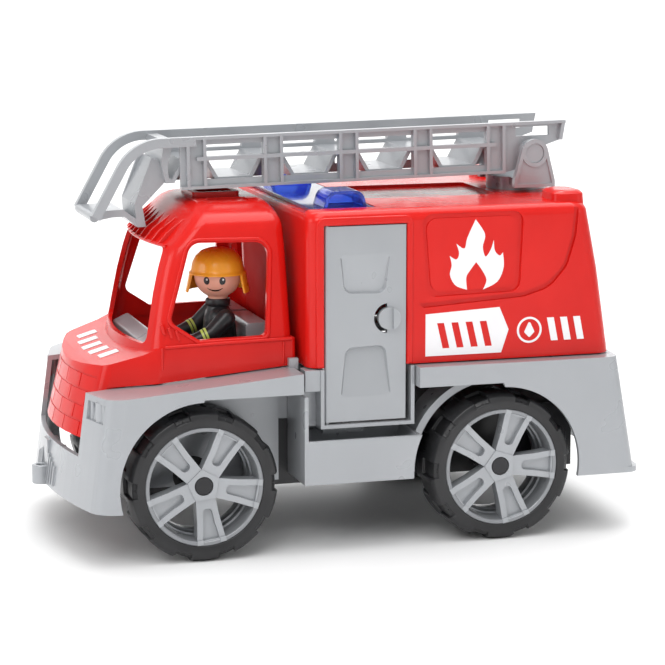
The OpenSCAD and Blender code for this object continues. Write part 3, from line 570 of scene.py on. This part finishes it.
def nose_ring(z, nose, half, inset=0):
    """Plan of the lower cab: an arced nose between round corners, the sides tapering towards it."""
    nose, half = nose - inset, half - inset
    arc = 130
    corner = half - 8.2
    sag = corner ** 2 / 2 / arc
    outline = [(CAB_X + inset, -half), (CAB_X + inset, half), (nose - 33, half), (nose - sag, corner)]
    radii = [2, 2, 9, 8]
    for k in range(1, 8):
        y = corner * (1 - k / 4)
        outline.append((nose - y * y / 2 / arc, y))
        radii.append(0)
    outline += [(nose - sag, -corner), (nose - 33, -half)]
    radii += [8, 9]
    return [(x, y, z) for x, y in rounded(outline, radii)][::-1]


def lower_form(name, inset):
    rings = [nose_ring(50, 129, CAB_Y, inset), nose_ring(87, 120, CAB_Y, inset),
             nose_ring(92, 118.7, CAB_Y - 0.3, inset), nose_ring(99 - inset, 117, CAB_Y - 0.8, inset)]
    return loft(name, rings, "red")


def cabin_ring(z, back, front, half, inset=0):
    """Plan of the cabin at one height, with an arced windscreen side."""
    back, front, half = back + inset, front - inset, half - inset
    arc = CABIN_ARC
    corner = 5
    sag = half * half / 2 / arc
    outline = [(back, -half), (back, half), (front - sag, half)]
    radii = [corner, corner, corner + 4]
    for k in range(1, 8):
        y = half * (1 - k / 4)
        outline.append((front - y * y / 2 / arc, y))
        radii.append(0)
    outline.append((front - sag, -half))
    radii.append(corner + 4)
    return [(x, y, z) for x, y in rounded(outline, [max(r - inset, 1) if r else 0 for r in radii])][::-1]


CABIN = [(90, 24, 99.2, 54), (95, 24, 98, 53.6), (107, 24.4, 95.6, 52.2), (120, 24.8, 92.8, 50.6),
         (131, 25.2, 89.8, 49.2), (137, 25.4, 87.8, 48.4), (141, 25.6, 86, 47.8), (143, 25.7, 83.6, 47.4),
         (147, 26, 79.8, 46.6), (150, 26.2, 77.2, 45.8), (152.4, 26.8, 74.8, 44.2), (154.6, 27.6, 72.6, 41.6),
         (157, 28.8, 69.6, 36.4), (158.8, 30, 66.6, 30.4), (160, 31.6, 63, 23)]


def cabin_form(name, inset):
    """The cabin, or its hollow; the inset lowers only the roof."""
    rings = [cabin_ring(z - (inset if z > 150 else 0), back, front, half, inset)
             for z, back, front, half in CABIN]
    return loft(name, rings, "red")


def cabin_half(z):
    """Half the cabin's width at a height."""
    for (z0, _, _, y0), (z1, _, _, y1) in zip(CABIN, CABIN[1:]):
        if z <= z1:
            return y0 + (y1 - y0) * (z - z0) / (z1 - z0)
    return CABIN[-1][3]


SIDE_WINDOW = [(37, 99.6), (68.7, 99), (81.8, 107.8), (71, 143.2), (34.4, 142.4)]
WINDOW_BEAD = [(35.8, 98.4), (69.2, 98), (83.2, 107.4), (72, 144.6), (33, 143.8)]
HATCH_HOLE = box_outline(41.6, -10.6, 58.4, 10.6, 1.5)


def hood_z(x):
    """Height of the flat top of the bonnet, which falls towards the nose."""
    return 94.4 - (x - 90) * 0.29


def make_cab():
    shell = lower_form("cab_body", 0)
    profile = [(22, 85.7), (22, 98), (86, 96.6), (95, hood_z(95)), (115.4, hood_z(115.4)), (121, 84.8),
               (131, 60), (131, 54), (104, 54), (98, 79.2)]
    profile = rounded(profile, [0, 0.5, 6, 4, 6, 5, 4, 3, 0, 0])
    combine(shell, prism("profile", profile, "y", -60, 60), "INTERSECT")
    for side in (-1, 1):
        foot = [(20, 50), (20, 86.1), (98, 79.2), (124, 77.1), (140, 76), (140, 50)]
        cut(shell, prism("foot", foot, "y", *span(side, NOSE_HALF, 70)))
    add(shell, cabin_form("cabin", 0))
    inner = lower_form("inner", WALL)
    profile = [(25.4, 48), (25.4, 94), (78, 94), (92, hood_z(92) - WALL), (113, hood_z(113) - WALL),
               (117.6, 82), (127, 60), (127, 48)]
    combine(inner, prism("profile", profile, "y", -60, 60), "INTERSECT")
    # The floor of the cabin opens into the lower cab inside the cabin's own plan
    _, back, front, half = CABIN[0]
    neck = loft("neck", [cabin_ring(z, back, front, half, WALL) for z in (88, CABIN[0][0] + 2)], "red")
    cut(shell, inner, neck, cabin_form("cabin_inner", WALL))
    cut(shell, prism("side_windows", rounded(SIDE_WINDOW, [3, 2, 4, 6, 6]), "y", -80, 80))
    windscreen = rounded([(-43, 96.4), (43, 96.4), (38.4, 140.8), (-38.4, 140.8)], 4)
    cut(shell, prism("windscreen", windscreen, "x", 70, 112))
    cut(shell, prism("rear_light", box_outline(-36, 108, -24, 138, 1.5), "x", 20, 31))
    cut(shell, prism("hatch_well", HATCH_HOLE, "z", 159.2, ABOVE))
    for side in (-1, 1):
        well = [(x, side * y) for x, y in box_outline(38, 17, 57, 33, 2)][::side]
        cut(shell, prism("roof_well", well, "z", 159.3, ABOVE))
    # Brick-like relief of the nose
    courses = [60.5, 67.5, 74.5, 81.5]
    skin = lower_form("skin", 0.4)
    lines = [brick("course", (106, -42, z), (135, 42, z + 0.9)) for z in courses]
    for i, z in enumerate(courses):
        for y in range(-36 + (i % 2) * 9, 37, 18):
            lines.append(brick("joint", (106, y - 0.45, z - 6.2), (135, y + 0.45, z + 0.2)))
    grid = lines[0]
    add(grid, *lines[1:])
    cut(grid, skin)
    cut(shell, grid)
    soften(shell, 0.7, 3, 28)
    place(shell, "truck", "red_plastic", ["cab_shell"])


def make_cab_trim():
    """Visor, window beads, hatch frame, door lines and the ribbed corner panels."""
    parts = []
    for k in range(-4, 5):
        y = k * 8.4
        back = y * y / 2 / CABIN_ARC
        peak = ((74.4, 152.8), (82.8, 146.6), (87.2, 141.4), (84, 141), (72.6, 152))
        parts.append(prism("rib", [(x - back, z) for x, z in peak], "y", y - 0.6, y + 0.6, "red"))
    lip = [(86 - y * y / 2 / CABIN_ARC, y, 141.2) for y in range(-40, 41, 4)]
    parts.append(tube("lip", lip, 0.9, "red"))
    hatch = prism("hatch", box_outline(38.6, -13.6, 61.4, 13.6, 3), "z", 159.4, 162.2, "red")
    cut(hatch, prism("hole", HATCH_HOLE, "z", 150, ABOVE))
    parts.append(hatch)
    for side in (-1, 1):
        for x, z0 in ((78, 99.4), (81.4, 100.6), (84.8, 102.4)):
            y = side * (cabin_half(z0) + 0.2)
            low, high = sorted((y - side * 1.2, y + side * 0.5))
            rib = [(x - 0.6, z0), (x + 0.6, z0 - 0.3), (x + 2.2, z0 + 4.6), (x + 1, z0 + 5)]
            parts.append(prism("corner_rib", rib, "y", low, high, "red"))
    # The inner face of the rear wall gets a darker, matte red sheet: matte as unpolished plastic, and its darker
    # colour is painted shade for the cabin's inside
    face = [(26.1, 98), (26.6, 98), (28.2, 141), (27.7, 141)]
    parts.append(prism("rear_wall_painted_shade", face, "y", -22, 35, "inside"))
    trim = joined("cab_trim", parts)
    soften(trim, 0.4, 3, 30)
    place(trim, "truck", "red_plastic")
    beads = []
    for side in (-1, 1):
        path = [(x, side * (cabin_half(z) - 0.1), z) for x, z in rounded(WINDOW_BEAD, [3, 2, 5, 7, 7], 8)]
        beads.append(tube("bead", path, 0.9, "red", closed=True))
        y = side * (CAB_Y - 0.7)
        beads.append(tube("ledge", [(25, y, 97.8), (60, y, 97.2), (85, side * (CAB_Y - 0.9), 96.4)], 0.9, "red"))
        y = side * (CAB_Y - 0.15)
        for x in (29, 86.4):
            beads.append(tube("line", [(x, y, 86.4), (x, y, 96.6)], 0.55, "red"))
    place(joined("cab_beads", beads), "truck", "red_plastic")


# ---- figure ----

FIG = (51, 22)
HEAD_Z = 124.6
HEAD_R = 11.3
SHOULDER_Z = 105.2
HEAD_TURN = 68


def to_head(obj):
    """Moves a piece made round the origin to the head, facing the way the figure looks."""
    turn = Matrix.Rotation(math.radians(HEAD_TURN), 4, "Z")
    obj.data.transform(Matrix.Translation(metres((FIG[0] + 1, FIG[1], HEAD_Z))) @ turn)


def on_head(u, v, lift=0.0):
    """A point on the face: u to its left and v up, in millimetres along the skin."""
    a, b = u / HEAD_R, v / HEAD_R
    r = HEAD_R + lift
    return Vector((r * math.cos(a) * math.cos(b), r * math.sin(a) * math.cos(b), r * math.sin(b)))


def face_patch(name, outline, key, lift=0.06):
    bm = bmesh.new()
    centre = bm.verts.new(on_head(sum(p[0] for p in outline) / len(outline),
                                  sum(p[1] for p in outline) / len(outline), lift) * MM)
    ring = [bm.verts.new(on_head(u, v, lift) * MM) for u, v in outline]
    rim = [bm.verts.new(on_head(u, v, -0.1) * MM) for u, v in outline]
    for i in range(len(ring)):
        j = (i + 1) % len(ring)
        bm.faces.new((centre, ring[i], ring[j]))
        bm.faces.new((ring[i], rim[i], rim[j], ring[j]))
    return as_object(name, bm, key)


def oval(u, v, ru, rv):
    return [(u + ru * x, v + rv * y) for x, y in circle(0, 0, 1, 24)]


def make_mouth():
    """An upturned arc that thins towards its ends."""
    bm = bmesh.new()
    steps = 12
    pairs = []
    for k in range(steps + 1):
        a = math.radians(-155 + 130 * k / steps)
        thick = 0.75 * math.sin(math.pi * k / steps) + 0.2
        pairs.append([bm.verts.new(on_head((4.8 - t) * math.cos(a), -4 + (3.6 - t) * math.sin(a), 0.06) * MM)
                      for t in (0, thick)])
    for (outer, inner), (next_outer, next_inner) in zip(pairs, pairs[1:]):
        bm.faces.new((outer, next_outer, next_inner, inner))
    return as_object("mouth", bm, "ink")


def make_head():
    profile = [(0, -11.6), (3.4, -11.5), (4.6, -11.4), (4.8, -10.6)]
    for k in range(25):
        a = math.radians(-64 + 154 * k / 24)
        profile.append((HEAD_R * math.cos(a), HEAD_R * math.sin(a)))
    profile[-1] = (0, HEAD_R)
    head = lathe("head", profile, "skin")
    parts = [head]
    for side in (-1, 1):
        parts.append(face_patch("eye", oval(side * 3.9, -1.9, 1.5, 1.9), "ink"))
        # A small white dot high on each eye is a painted highlight
        parts.append(face_patch("glint", oval(side * 3.9 + 0.3, -1.2, 0.45, 0.5), "white", 0.12))
    parts.append(make_mouth())
    head = joined("figure_face", parts)
    to_head(head)
    smooth(head, 50)
    place(head, "figure_head", "skin", ["figure_head"])


def make_helmet():
    """A shallow brimmed cap with a long flap round the back and sides of the neck."""
    dome = [(0, 12.9), (4, 12.5), (7.6, 11.2), (10.2, 8.9), (11.8, 6), (12.4, 3), (12.7, 1.6), (13.5, 1.1),
            (13.6, 0.6), (13.4, 0.2), (11.8, 0.4), (11.5, 1.4), (11.4, 4), (9.6, 7.8), (6, 10.6), (0, 11.7)]
    crown = lathe("crown", dome, "orange", 64)
    skirt = [(12.9, 1.4), (13.3, 1), (14.2, -3.4), (15.2, -8), (14.9, -8.4), (14.2, -8), (12.9, -3.4),
             (11.9, 1), (12.9, 1.4)]
    flap = lathe("flap", skirt, "orange", 48, 230)
    flap.data.transform(Matrix.Rotation(math.radians(65), 4, "Z"))
    bm = bmesh.new()
    bm.from_mesh(flap.data)
    bmesh.ops.holes_fill(bm, edges=[e for e in bm.edges if e.is_boundary])
    bmesh.ops.recalc_face_normals(bm, faces=bm.faces)
    bm.to_mesh(flap.data)
    bm.free()
    helmet = joined("figure_cap", [crown, flap])
    to_head(helmet)
    soften(helmet, 0.3, 2, 50)
    place(helmet, "figure_head", "orange_plastic", ["figure_helmet"])


def make_torso():
    x, y = FIG
    jacket = blob("figure_jacket", [
        ((x, y, 81), (x + 0.4, y, SHOULDER_Z - 3), 9.2, 7.6),
        ((x, y - 3, 82), (x + 0.6, y - 4.4, SHOULDER_Z - 1.4), 7.4, 5.9),
        ((x, y + 3, 82), (x + 0.6, y + 4.4, SHOULDER_Z - 1.4), 7.4, 5.9),
        ((x + 0.8, y, SHOULDER_Z + 1), (x + 1, y, SHOULDER_Z + 6), 5.6, 4.9),
    ], "black")
    roll = ((3.6, 4.6), (5.3, 4.4), (5.8, 5), (5.9, 7.2), (5.5, 7.8), (4.9, 7.4), (4.7, 5.4), (3.6, 4.6))
    collar = lathe("collar", [(r, SHOULDER_Z + z) for r, z in roll], "black", 40)
    collar.data.transform(Matrix.Translation(metres((x + 1, y, 0))))
    body = joined("figure_body", [jacket, collar])
    smooth(body, 50)
    place(body, "truck", "black_plastic", ["figure_torso"])


def make_arm(side):
    x, y = FIG[0] + 0.6, FIG[1]
    name = "figure_sleeve_left" if side > 0 else "figure_sleeve_right"
    shoulder = (x, y + side * 13.4, SHOULDER_Z)
    elbow = (x + 7, y + side * 14.3, SHOULDER_Z - 6.4)
    wrist = (x + 15.4, y + side * 13.6, SHOULDER_Z - 9.6)
    sleeve = blob(name, [(shoulder, elbow, 4.6, 3.9), (elbow, wrist, 3.9, 3.1),
                         ((x, y + side * 11.2, SHOULDER_Z), shoulder, 3.9, 4.4)], "black", 0.5, 4)
    axis = Vector(wrist) - Vector(elbow)
    parts = [sleeve]
    for t in (0.28, 0.46):
        radius = 3.9 + (3.1 - 3.9) * t
        parts.append(ring_band("cuff", Vector(elbow) + axis * t, axis, radius + 0.12, 1.1, "lime"))
    palm, knuckles = Vector(wrist) + axis * 0.12, Vector(wrist) + axis * 0.3
    parts.append(blob("hand", [(palm, knuckles, 2.5, 2.2)], "skin", 0.4))
    arm = joined(name + "_arm", parts)
    body = "figure_arm_left" if side > 0 else "figure_arm_right"
    place(arm, body, "black_plastic", [body])


def ring_band(name, centre, axis, radius, width, key):
    """A narrow printed band round a sleeve."""
    profile = [(radius - 0.5, -width / 2), (radius, -width / 2), (radius, width / 2), (radius - 0.5, width / 2),
               (radius - 0.5, -width / 2)]
    band = lathe(name, profile, key, 32)
    turn = Vector(axis).to_track_quat("Z", "Y").to_matrix().to_4x4()
    band.data.transform(Matrix.Translation(metres(centre)) @ turn)
    smooth(band, 40)
    return band


def make_legs():
    x, y = FIG
    limbs = []
    for side in (-1, 1):
        v = y + side * 5.2
        limbs += [((x + 6, v, 81.4), (x + 20, v, 80.4), 4.5, 4.2), ((x + 21, v, 80), (x + 22, v, 64), 4.3, 3.7),
                  ((x + 21, v, 62.4), (x + 27, v, 61.8), 3.4, 3.1)]
    legs = blob("figure_trousers", limbs, "black")
    place(legs, "truck", "black_plastic", ["figure_legs"])


# ---- light bar ----


def dome_outline(inset):
    return rounded([(-11.2 + inset, ROOF_Z), (-9.2 + inset, 165.6 - inset), (7.4 - inset, 165.6 - inset),
                    (9.8 - inset, ROOF_Z)], [0, 5 - inset * 0.7, 5 - inset * 0.7, 0], 8)


def make_light_bar():
    plate = prism("plate", box_outline(-14.6, -56.6, BOX_X - 4.6, 56.6, 1), "z", ROOF_Z - 1.8, ROOF_Z, "blue")
    parts = [plate]
    for side in (-1, 1):
        arch = prism("dome", dome_outline(0), "y", *span(side, 37, 55), "blue")
        inner = dome_outline(1.5)
        inner[0] = (inner[0][0], ROOF_Z - 1)
        inner[-1] = (inner[-1][0], ROOF_Z - 1)
        cut(arch, prism("hollow", inner, "y", *span(side, 38.5, 60)))
        parts.append(arch)
    bar = joined("light_bar_glow", parts)
    soften(bar, 0.35, 3, 30)
    place(bar, "truck", "blue_clear", ["light_bar"])


# ---- doors, marks and wheels ----


def pocket(outline, depth):
    """The form that presses a pocket into a door; depth gives how deep it is at each height."""
    cx = sum(x for x, _ in outline) / len(outline)
    cz = sum(z for _, z in outline) / len(outline)
    rings = []
    for scale, sink in ((1.06, -0.6), (1.0, 0.0), (0.93, 1.0)):
        ring = []
        for x, z in outline:
            y = BOX_Y - sink * (depth(z) if sink > 0 else 1)
            ring.append((cx + (x - cx) * scale, y, cz + (z - cz) * scale))
        rings.append(ring)
    return loft("pocket", rings)


def make_door(side):
    """A door with two pressed pockets, a round pull and its hinge pins."""
    low, high = BOX_Y - 2.8, BOX_Y
    hinge = DOOR_X1 - 1.4
    panel = prism("door", box_outline(DOOR_X0, 60, hinge, DOOR_Z1), "y", low, high)
    edge = arc_points(hinge, BOX_Y - 1.4, 1.4, -90, 90, 12)
    add(panel, prism("edge", edge, "z", 60, DOOR_Z1))
    cx = (DOOR_X0 + DOOR_X1) / 2
    upper = rounded([(cx - 12, 138), (cx + 12.4, 138), (cx + 10.2, 119.8), (cx - 9.4, 119.2)], [1.5, 1.5, 4, 4])
    lower = rounded([(cx - 12.4, 71), (cx + 12, 71), (cx + 9.6, 94.6), (cx - 9.6, 95.2)], [1.5, 1.5, 4, 4])
    cut(panel, pocket(upper, lambda z: 0.3 + 1.7 * min(max((138 - z) / 18, 0), 1)))
    cut(panel, pocket(lower, lambda z: 0.3 + 1.7 * min(max((z - 71) / 24, 0), 1)))
    pull_x, pull_z = DOOR_X0 + 8.4, 107.6
    moon = arc_points(pull_x, pull_z, 7, -84, 84, 14) + arc_points(pull_x, pull_z, 4.8, 84, -84, 14)
    cut(panel, prism("moon", moon, "y", low - 1, high + 1))
    soften(panel, 0.35, 3, 40)
    pull = loft("pull", [[(x, high + y, z) for x, z in circle(pull_x, pull_z, radius, 40)]
                         for radius, y in ((5.2, -0.6), (5.2, 2.8), (4.4, 3.2))])
    scoop = box_outline(pull_x - 1.6, pull_z - 9, pull_x + 9, pull_z + 9)
    cut(pull, prism("scoop", scoop, "y", high + 1.4, high + 6))
    soften(pull, 0.3, 2, 40)
    pin = tube("pins", [(hinge, BOX_Y - 1.4, 57.8), (hinge, BOX_Y - 1.4, 153.2)], 0.9, "grey", sides=16)
    stop = brick("stop", (DOOR_X0 + 3, BOX_Y - 4.8, 90), (DOOR_X0 + 5, BOX_Y - 2.8, 130))
    door = joined("door_left" if side > 0 else "door_right", [baked(panel), baked(pull), pin, stop])
    if side < 0:
        door.data.transform(Matrix.Scale(-1, 4, (0, 1, 0)))
        door.data.flip_normals()
    body = "left_door" if side > 0 else "right_door"
    place(door, body, "grey_plastic", [body])


def curved(points, steps=5):
    """A closed outline through points; a point given twice stays a sharp tip."""
    out = []
    count = len(points)
    for i in range(count):
        a, b, c, d = (Vector(points[(i + k) % count]) for k in (-1, 0, 1, 2))
        if (b - c).length < 1e-6:
            continue
        if (a - b).length < 1e-6:
            a = b + (b - c) * 0.05
        if (d - c).length < 1e-6:
            d = c + (c - b) * 0.05
        for k in range(steps):
            t = k / steps
            q = 0.5 * (2 * b + (c - a) * t + (2 * a - 5 * b + 4 * c - d) * t * t + (3 * b - a - 3 * c + d) * t ** 3)
            out.append((q.x, q.y))
    return out


def make_flame():
    """The white flame print: tongues curling up from a foot that is open in the middle."""
    tongues = [(0, 33), (0, 33), (-4.6, 26), (-3.6, 20), (-5, 15.4), (-7.6, 18.6), (-9, 23), (-9, 23), (-9.6, 18),
               (-12, 15.6), (-13.6, 17), (-13.6, 17), (-14, 10), (-11, 3.4), (-4, 0), (-4, 0), (-5.6, 4.4),
               (-3.4, 9), (-0.4, 13), (-0.4, 13), (2.4, 9.4), (4.4, 6), (4, 0.2), (4, 0.2), (9.6, 2.4),
               (12.4, 7.4), (11.6, 12), (12.6, 16.4), (12.6, 16.4), (9.4, 14.6), (8, 17.4), (9.4, 22), (9.4, 22),
               (5.4, 19.6), (4, 24.6)]
    outline = [(-60 + x, 118.8 + z) for x, z in curved(tongues)]
    marks = [prism("flame", outline, "y", *span(side, BOX_Y - 0.75, BOX_Y - 0.42), "white") for side in (-1, 1)]
    place(joined("flame_print", marks), "truck", "white_mark", ["flame_marks"])


WHEEL_R = 35
# The rims' inner ends, measured from the middle of the toy
RIM_BACK = 49


def make_rim(end, side, spin):
    """A rim with a thin ring, five raised-edge spokes, a five-sided hub and a stepped barrel."""
    face = 25.2
    bore_r = 2.06
    steps = [(25.6, 1.6), (27.6, 1.6), (27.6, face - 0.3), (27.3, face), (25.9, face), (25.6, face - 0.3),
             (25.4, face - 3.4), (24.8, face - 4.2), (24.6, 16), (23.8, 15.6), (23.6, 12), (22.8, 11.6),
             (22.6, 8), (23.2, 4), (25.6, 1.6)]
    # The barrel behind the spokes takes the darker silver as painted shade
    barrel = lathe("barrel", steps, "rim", 96)

    def crown(x, y):
        r = math.hypot(x, y)
        return face - 2.2 + 1.7 * min(max((r - 7) / 17, 0), 1)

    def layer(name, outline, under, over):
        bm = bmesh.new()
        rows = [[bm.verts.new(Vector((x, y, h(x, y))) * MM) for x, y in outline] for h in (under, over)]
        count = len(outline)
        for i in range(count):
            j = (i + 1) % count
            bm.faces.new((rows[0][i], rows[0][j], rows[1][j], rows[1][i]))
        bm.faces.new(rows[0][::-1])
        bm.faces.new(rows[1])
        return as_object(name, bm, "grey")

    body = rounded([(5.6, -4.5), (16, -5.4), (25.9, -6.8), (25.9, 6.8), (16, 5.4), (5.6, 4.5)], 0)
    spoke = layer("spoke", body, lambda x, y: face - 8, crown)
    well = [(10.6, -2.1), (17, -2.7), (24.9, -4), (24.9, 4), (17, 2.7), (10.6, 2.1)]
    well = rounded(well, [2, 0, 0.3, 0.3, 0, 2])
    cut(spoke, layer("well", well, lambda x, y: crown(x, y) - 2.6, lambda x, y: face + 3))
    pads = []
    for s in (-1, 1):
        pad = [(24.4, s * 3.9), (26.7, s * 4.1), (26.7, s * 6.9), (24.4, s * 6.7)][::s]
        pads.append(layer("pad", pad, lambda x, y: face - 2, lambda x, y: face + 0.15))
    add(spoke, *pads)
    pieces = [barrel]
    for k in range(5):
        arm = spoke.copy()
        arm.data = spoke.data.copy()
        bpy.context.scene.collection.objects.link(arm)
        arm.data.transform(Matrix.Rotation(math.radians(72 * k), 4, "Z"))
        pieces.append(arm)
    bpy.data.objects.remove(spoke)
    five = arc_points(0, 0, 7.9, 36, 324, 4)
    hub = layer("hub", rounded(five, 0.8), lambda x, y: face - 9, lambda x, y: face - 1.6)
    cut(hub, layer("well", circle(0, 0, 4.4, 40), lambda x, y: face - 6.4, lambda x, y: face + 3))
    cut(hub, layer("bore", circle(0, 0, bore_r, 32), lambda x, y: -2, lambda x, y: face + 3))
    low, high = 0.6, face - 8.6
    wall = [(bore_r, low), (4.6, low), (4.6, high), (bore_r, high), (bore_r, low)]
    pieces += [hub, lathe("sleeve", wall, "grey", 40)]
    corner = end + ("_left" if side > 0 else "_right")
    rim = joined("wheel_rim_" + corner, pieces)
    centre = Vector((FRONT_X if end == "front" else REAR_X, RIM_BACK * side * MM, WHEEL_R * MM))
    upright = Matrix.Rotation(math.radians(-90 * side), 4, "X")
    rim.data.transform(Matrix.Translation(centre) @ upright @ Matrix.Rotation(math.radians(spin), 4, "Z"))
    soften(rim, 0.3, 2, 35)
    place(rim, "wheel_" + corner, "grey_plastic", ["rim_" + corner])


def make_wheels():
    for end, spin in (("front", 25), ("rear", 35)):
        for side in (-1, 1):
            make_rim(end, side, spin)


make_box()
make_door(1)
make_door(-1)
make_flame()
make_wheels()
make_cab()
make_cab_trim()
make_head()
make_helmet()
make_torso()
make_arm(1)
make_arm(-1)
make_legs()
make_light_bar()


# ---- camera, floor and light ----


CAMERA_AZIMUTH = math.radians(163.4)
CAMERA_ELEVATION = math.radians(10.03)
CAMERA_TARGET = Vector((-0.00738, 0, 0.08961))
CAMERA_DISTANCE = 1.2283


def add_camera():
    """Long lens from the front left, a little above the roof."""
    level = math.cos(CAMERA_ELEVATION)
    back = Vector((math.sin(CAMERA_AZIMUTH) * level, -math.cos(CAMERA_AZIMUTH) * level,
                   math.sin(CAMERA_ELEVATION)))
    camera = bpy.data.objects.new("camera", bpy.data.cameras.new("camera"))
    camera.data.lens = 136.45
    camera.data.sensor_width = 36
    camera.data.clip_start = 0.05
    camera.location = CAMERA_TARGET + back * CAMERA_DISTANCE
    camera.rotation_euler = (-back).to_track_quat("-Z", "Y").to_euler()
    bpy.context.scene.collection.objects.link(camera)
    bpy.context.scene.camera = camera


def add_light(name, location, aim, size, watts):
    data = bpy.data.lights.new(name, "AREA")
    data.shape = "RECTANGLE"
    data.size, data.size_y = size
    data.energy = watts
    light = bpy.data.objects.new(name, data)
    light.location = location
    light.rotation_euler = (Vector(aim) - Vector(location)).to_track_quat("-Z", "Y").to_euler()
    bpy.context.scene.collection.objects.link(light)


def add_sweep():
    """A pale floor that curves up into a wall behind the toy."""
    half_width, front, back, top, radius = 3.0, -3.0, 3.0, 3.2, 0.8
    profile = [(front, 0.0)]
    for i in range(13):
        a = math.radians(-90 + 90 * i / 12)
        profile.append((back - radius + radius * math.cos(a), radius + radius * math.sin(a)))
    profile.append((back, top))
    mesh = bpy.data.meshes.new("floor")
    verts = []
    for v, z in profile:
        verts += [(-half_width, v, z), (half_width, v, z)]
    faces = [(2 * i, 2 * i + 1, 2 * i + 3, 2 * i + 2) for i in range(len(profile) - 1)]
    mesh.from_pydata(verts, [], faces)
    floor = bpy.data.objects.new("floor", mesh)
    # The sweep rises on the far side of the toy from the camera
    floor.rotation_euler = (0, 0, CAMERA_AZIMUTH)
    for poly in mesh.polygons:
        poly.use_smooth = True
    bpy.context.scene.collection.objects.link(floor)
    mat, tree, shader = new_material("floor")
    grain = shade(tree, noise(tree, 0.01, 2), (0.88, 0.88, 0.88), (0.91, 0.91, 0.91))
    tree.links.new(grain, shader.inputs["Base Color"])
    shader.inputs["Roughness"].default_value = 0.65
    mesh.materials.append(mat)


def add_lights():
    """Soft lights from above, the front left and the front, a wash for the backdrop and a pale world."""
    add_light("key", (0.9, 1.3, 1.5), (0, 0, 0.08), (1.0, 1.0), 12.5)
    add_light("top", (-0.1, 0.1, 1.7), (0, 0, 0.1), (1.8, 1.2), 21)
    add_light("fill", (-1.4, 1.2, 0.7), (0, 0, 0.08), (1.0, 1.0), 4)
    add_light("backdrop", (-0.45, -1.5, 2.6), (-0.85, -3.0, 0.7), (2.4, 1.0), 60)
    add_light("front", (1.6, 0.1, 0.6), (0, 0, 0.08), (0.8, 0.8), 5)
    world = bpy.data.worlds.new("studio")
    world.use_nodes = True
    world.node_tree.nodes["Background"].inputs["Color"].default_value = (1, 1, 1, 1)
    world.node_tree.nodes["Background"].inputs["Strength"].default_value = 0.5
    bpy.context.scene.world = world


add_camera()
add_sweep()
add_lights()
bpy.context.scene.view_settings.view_transform = "Standard"
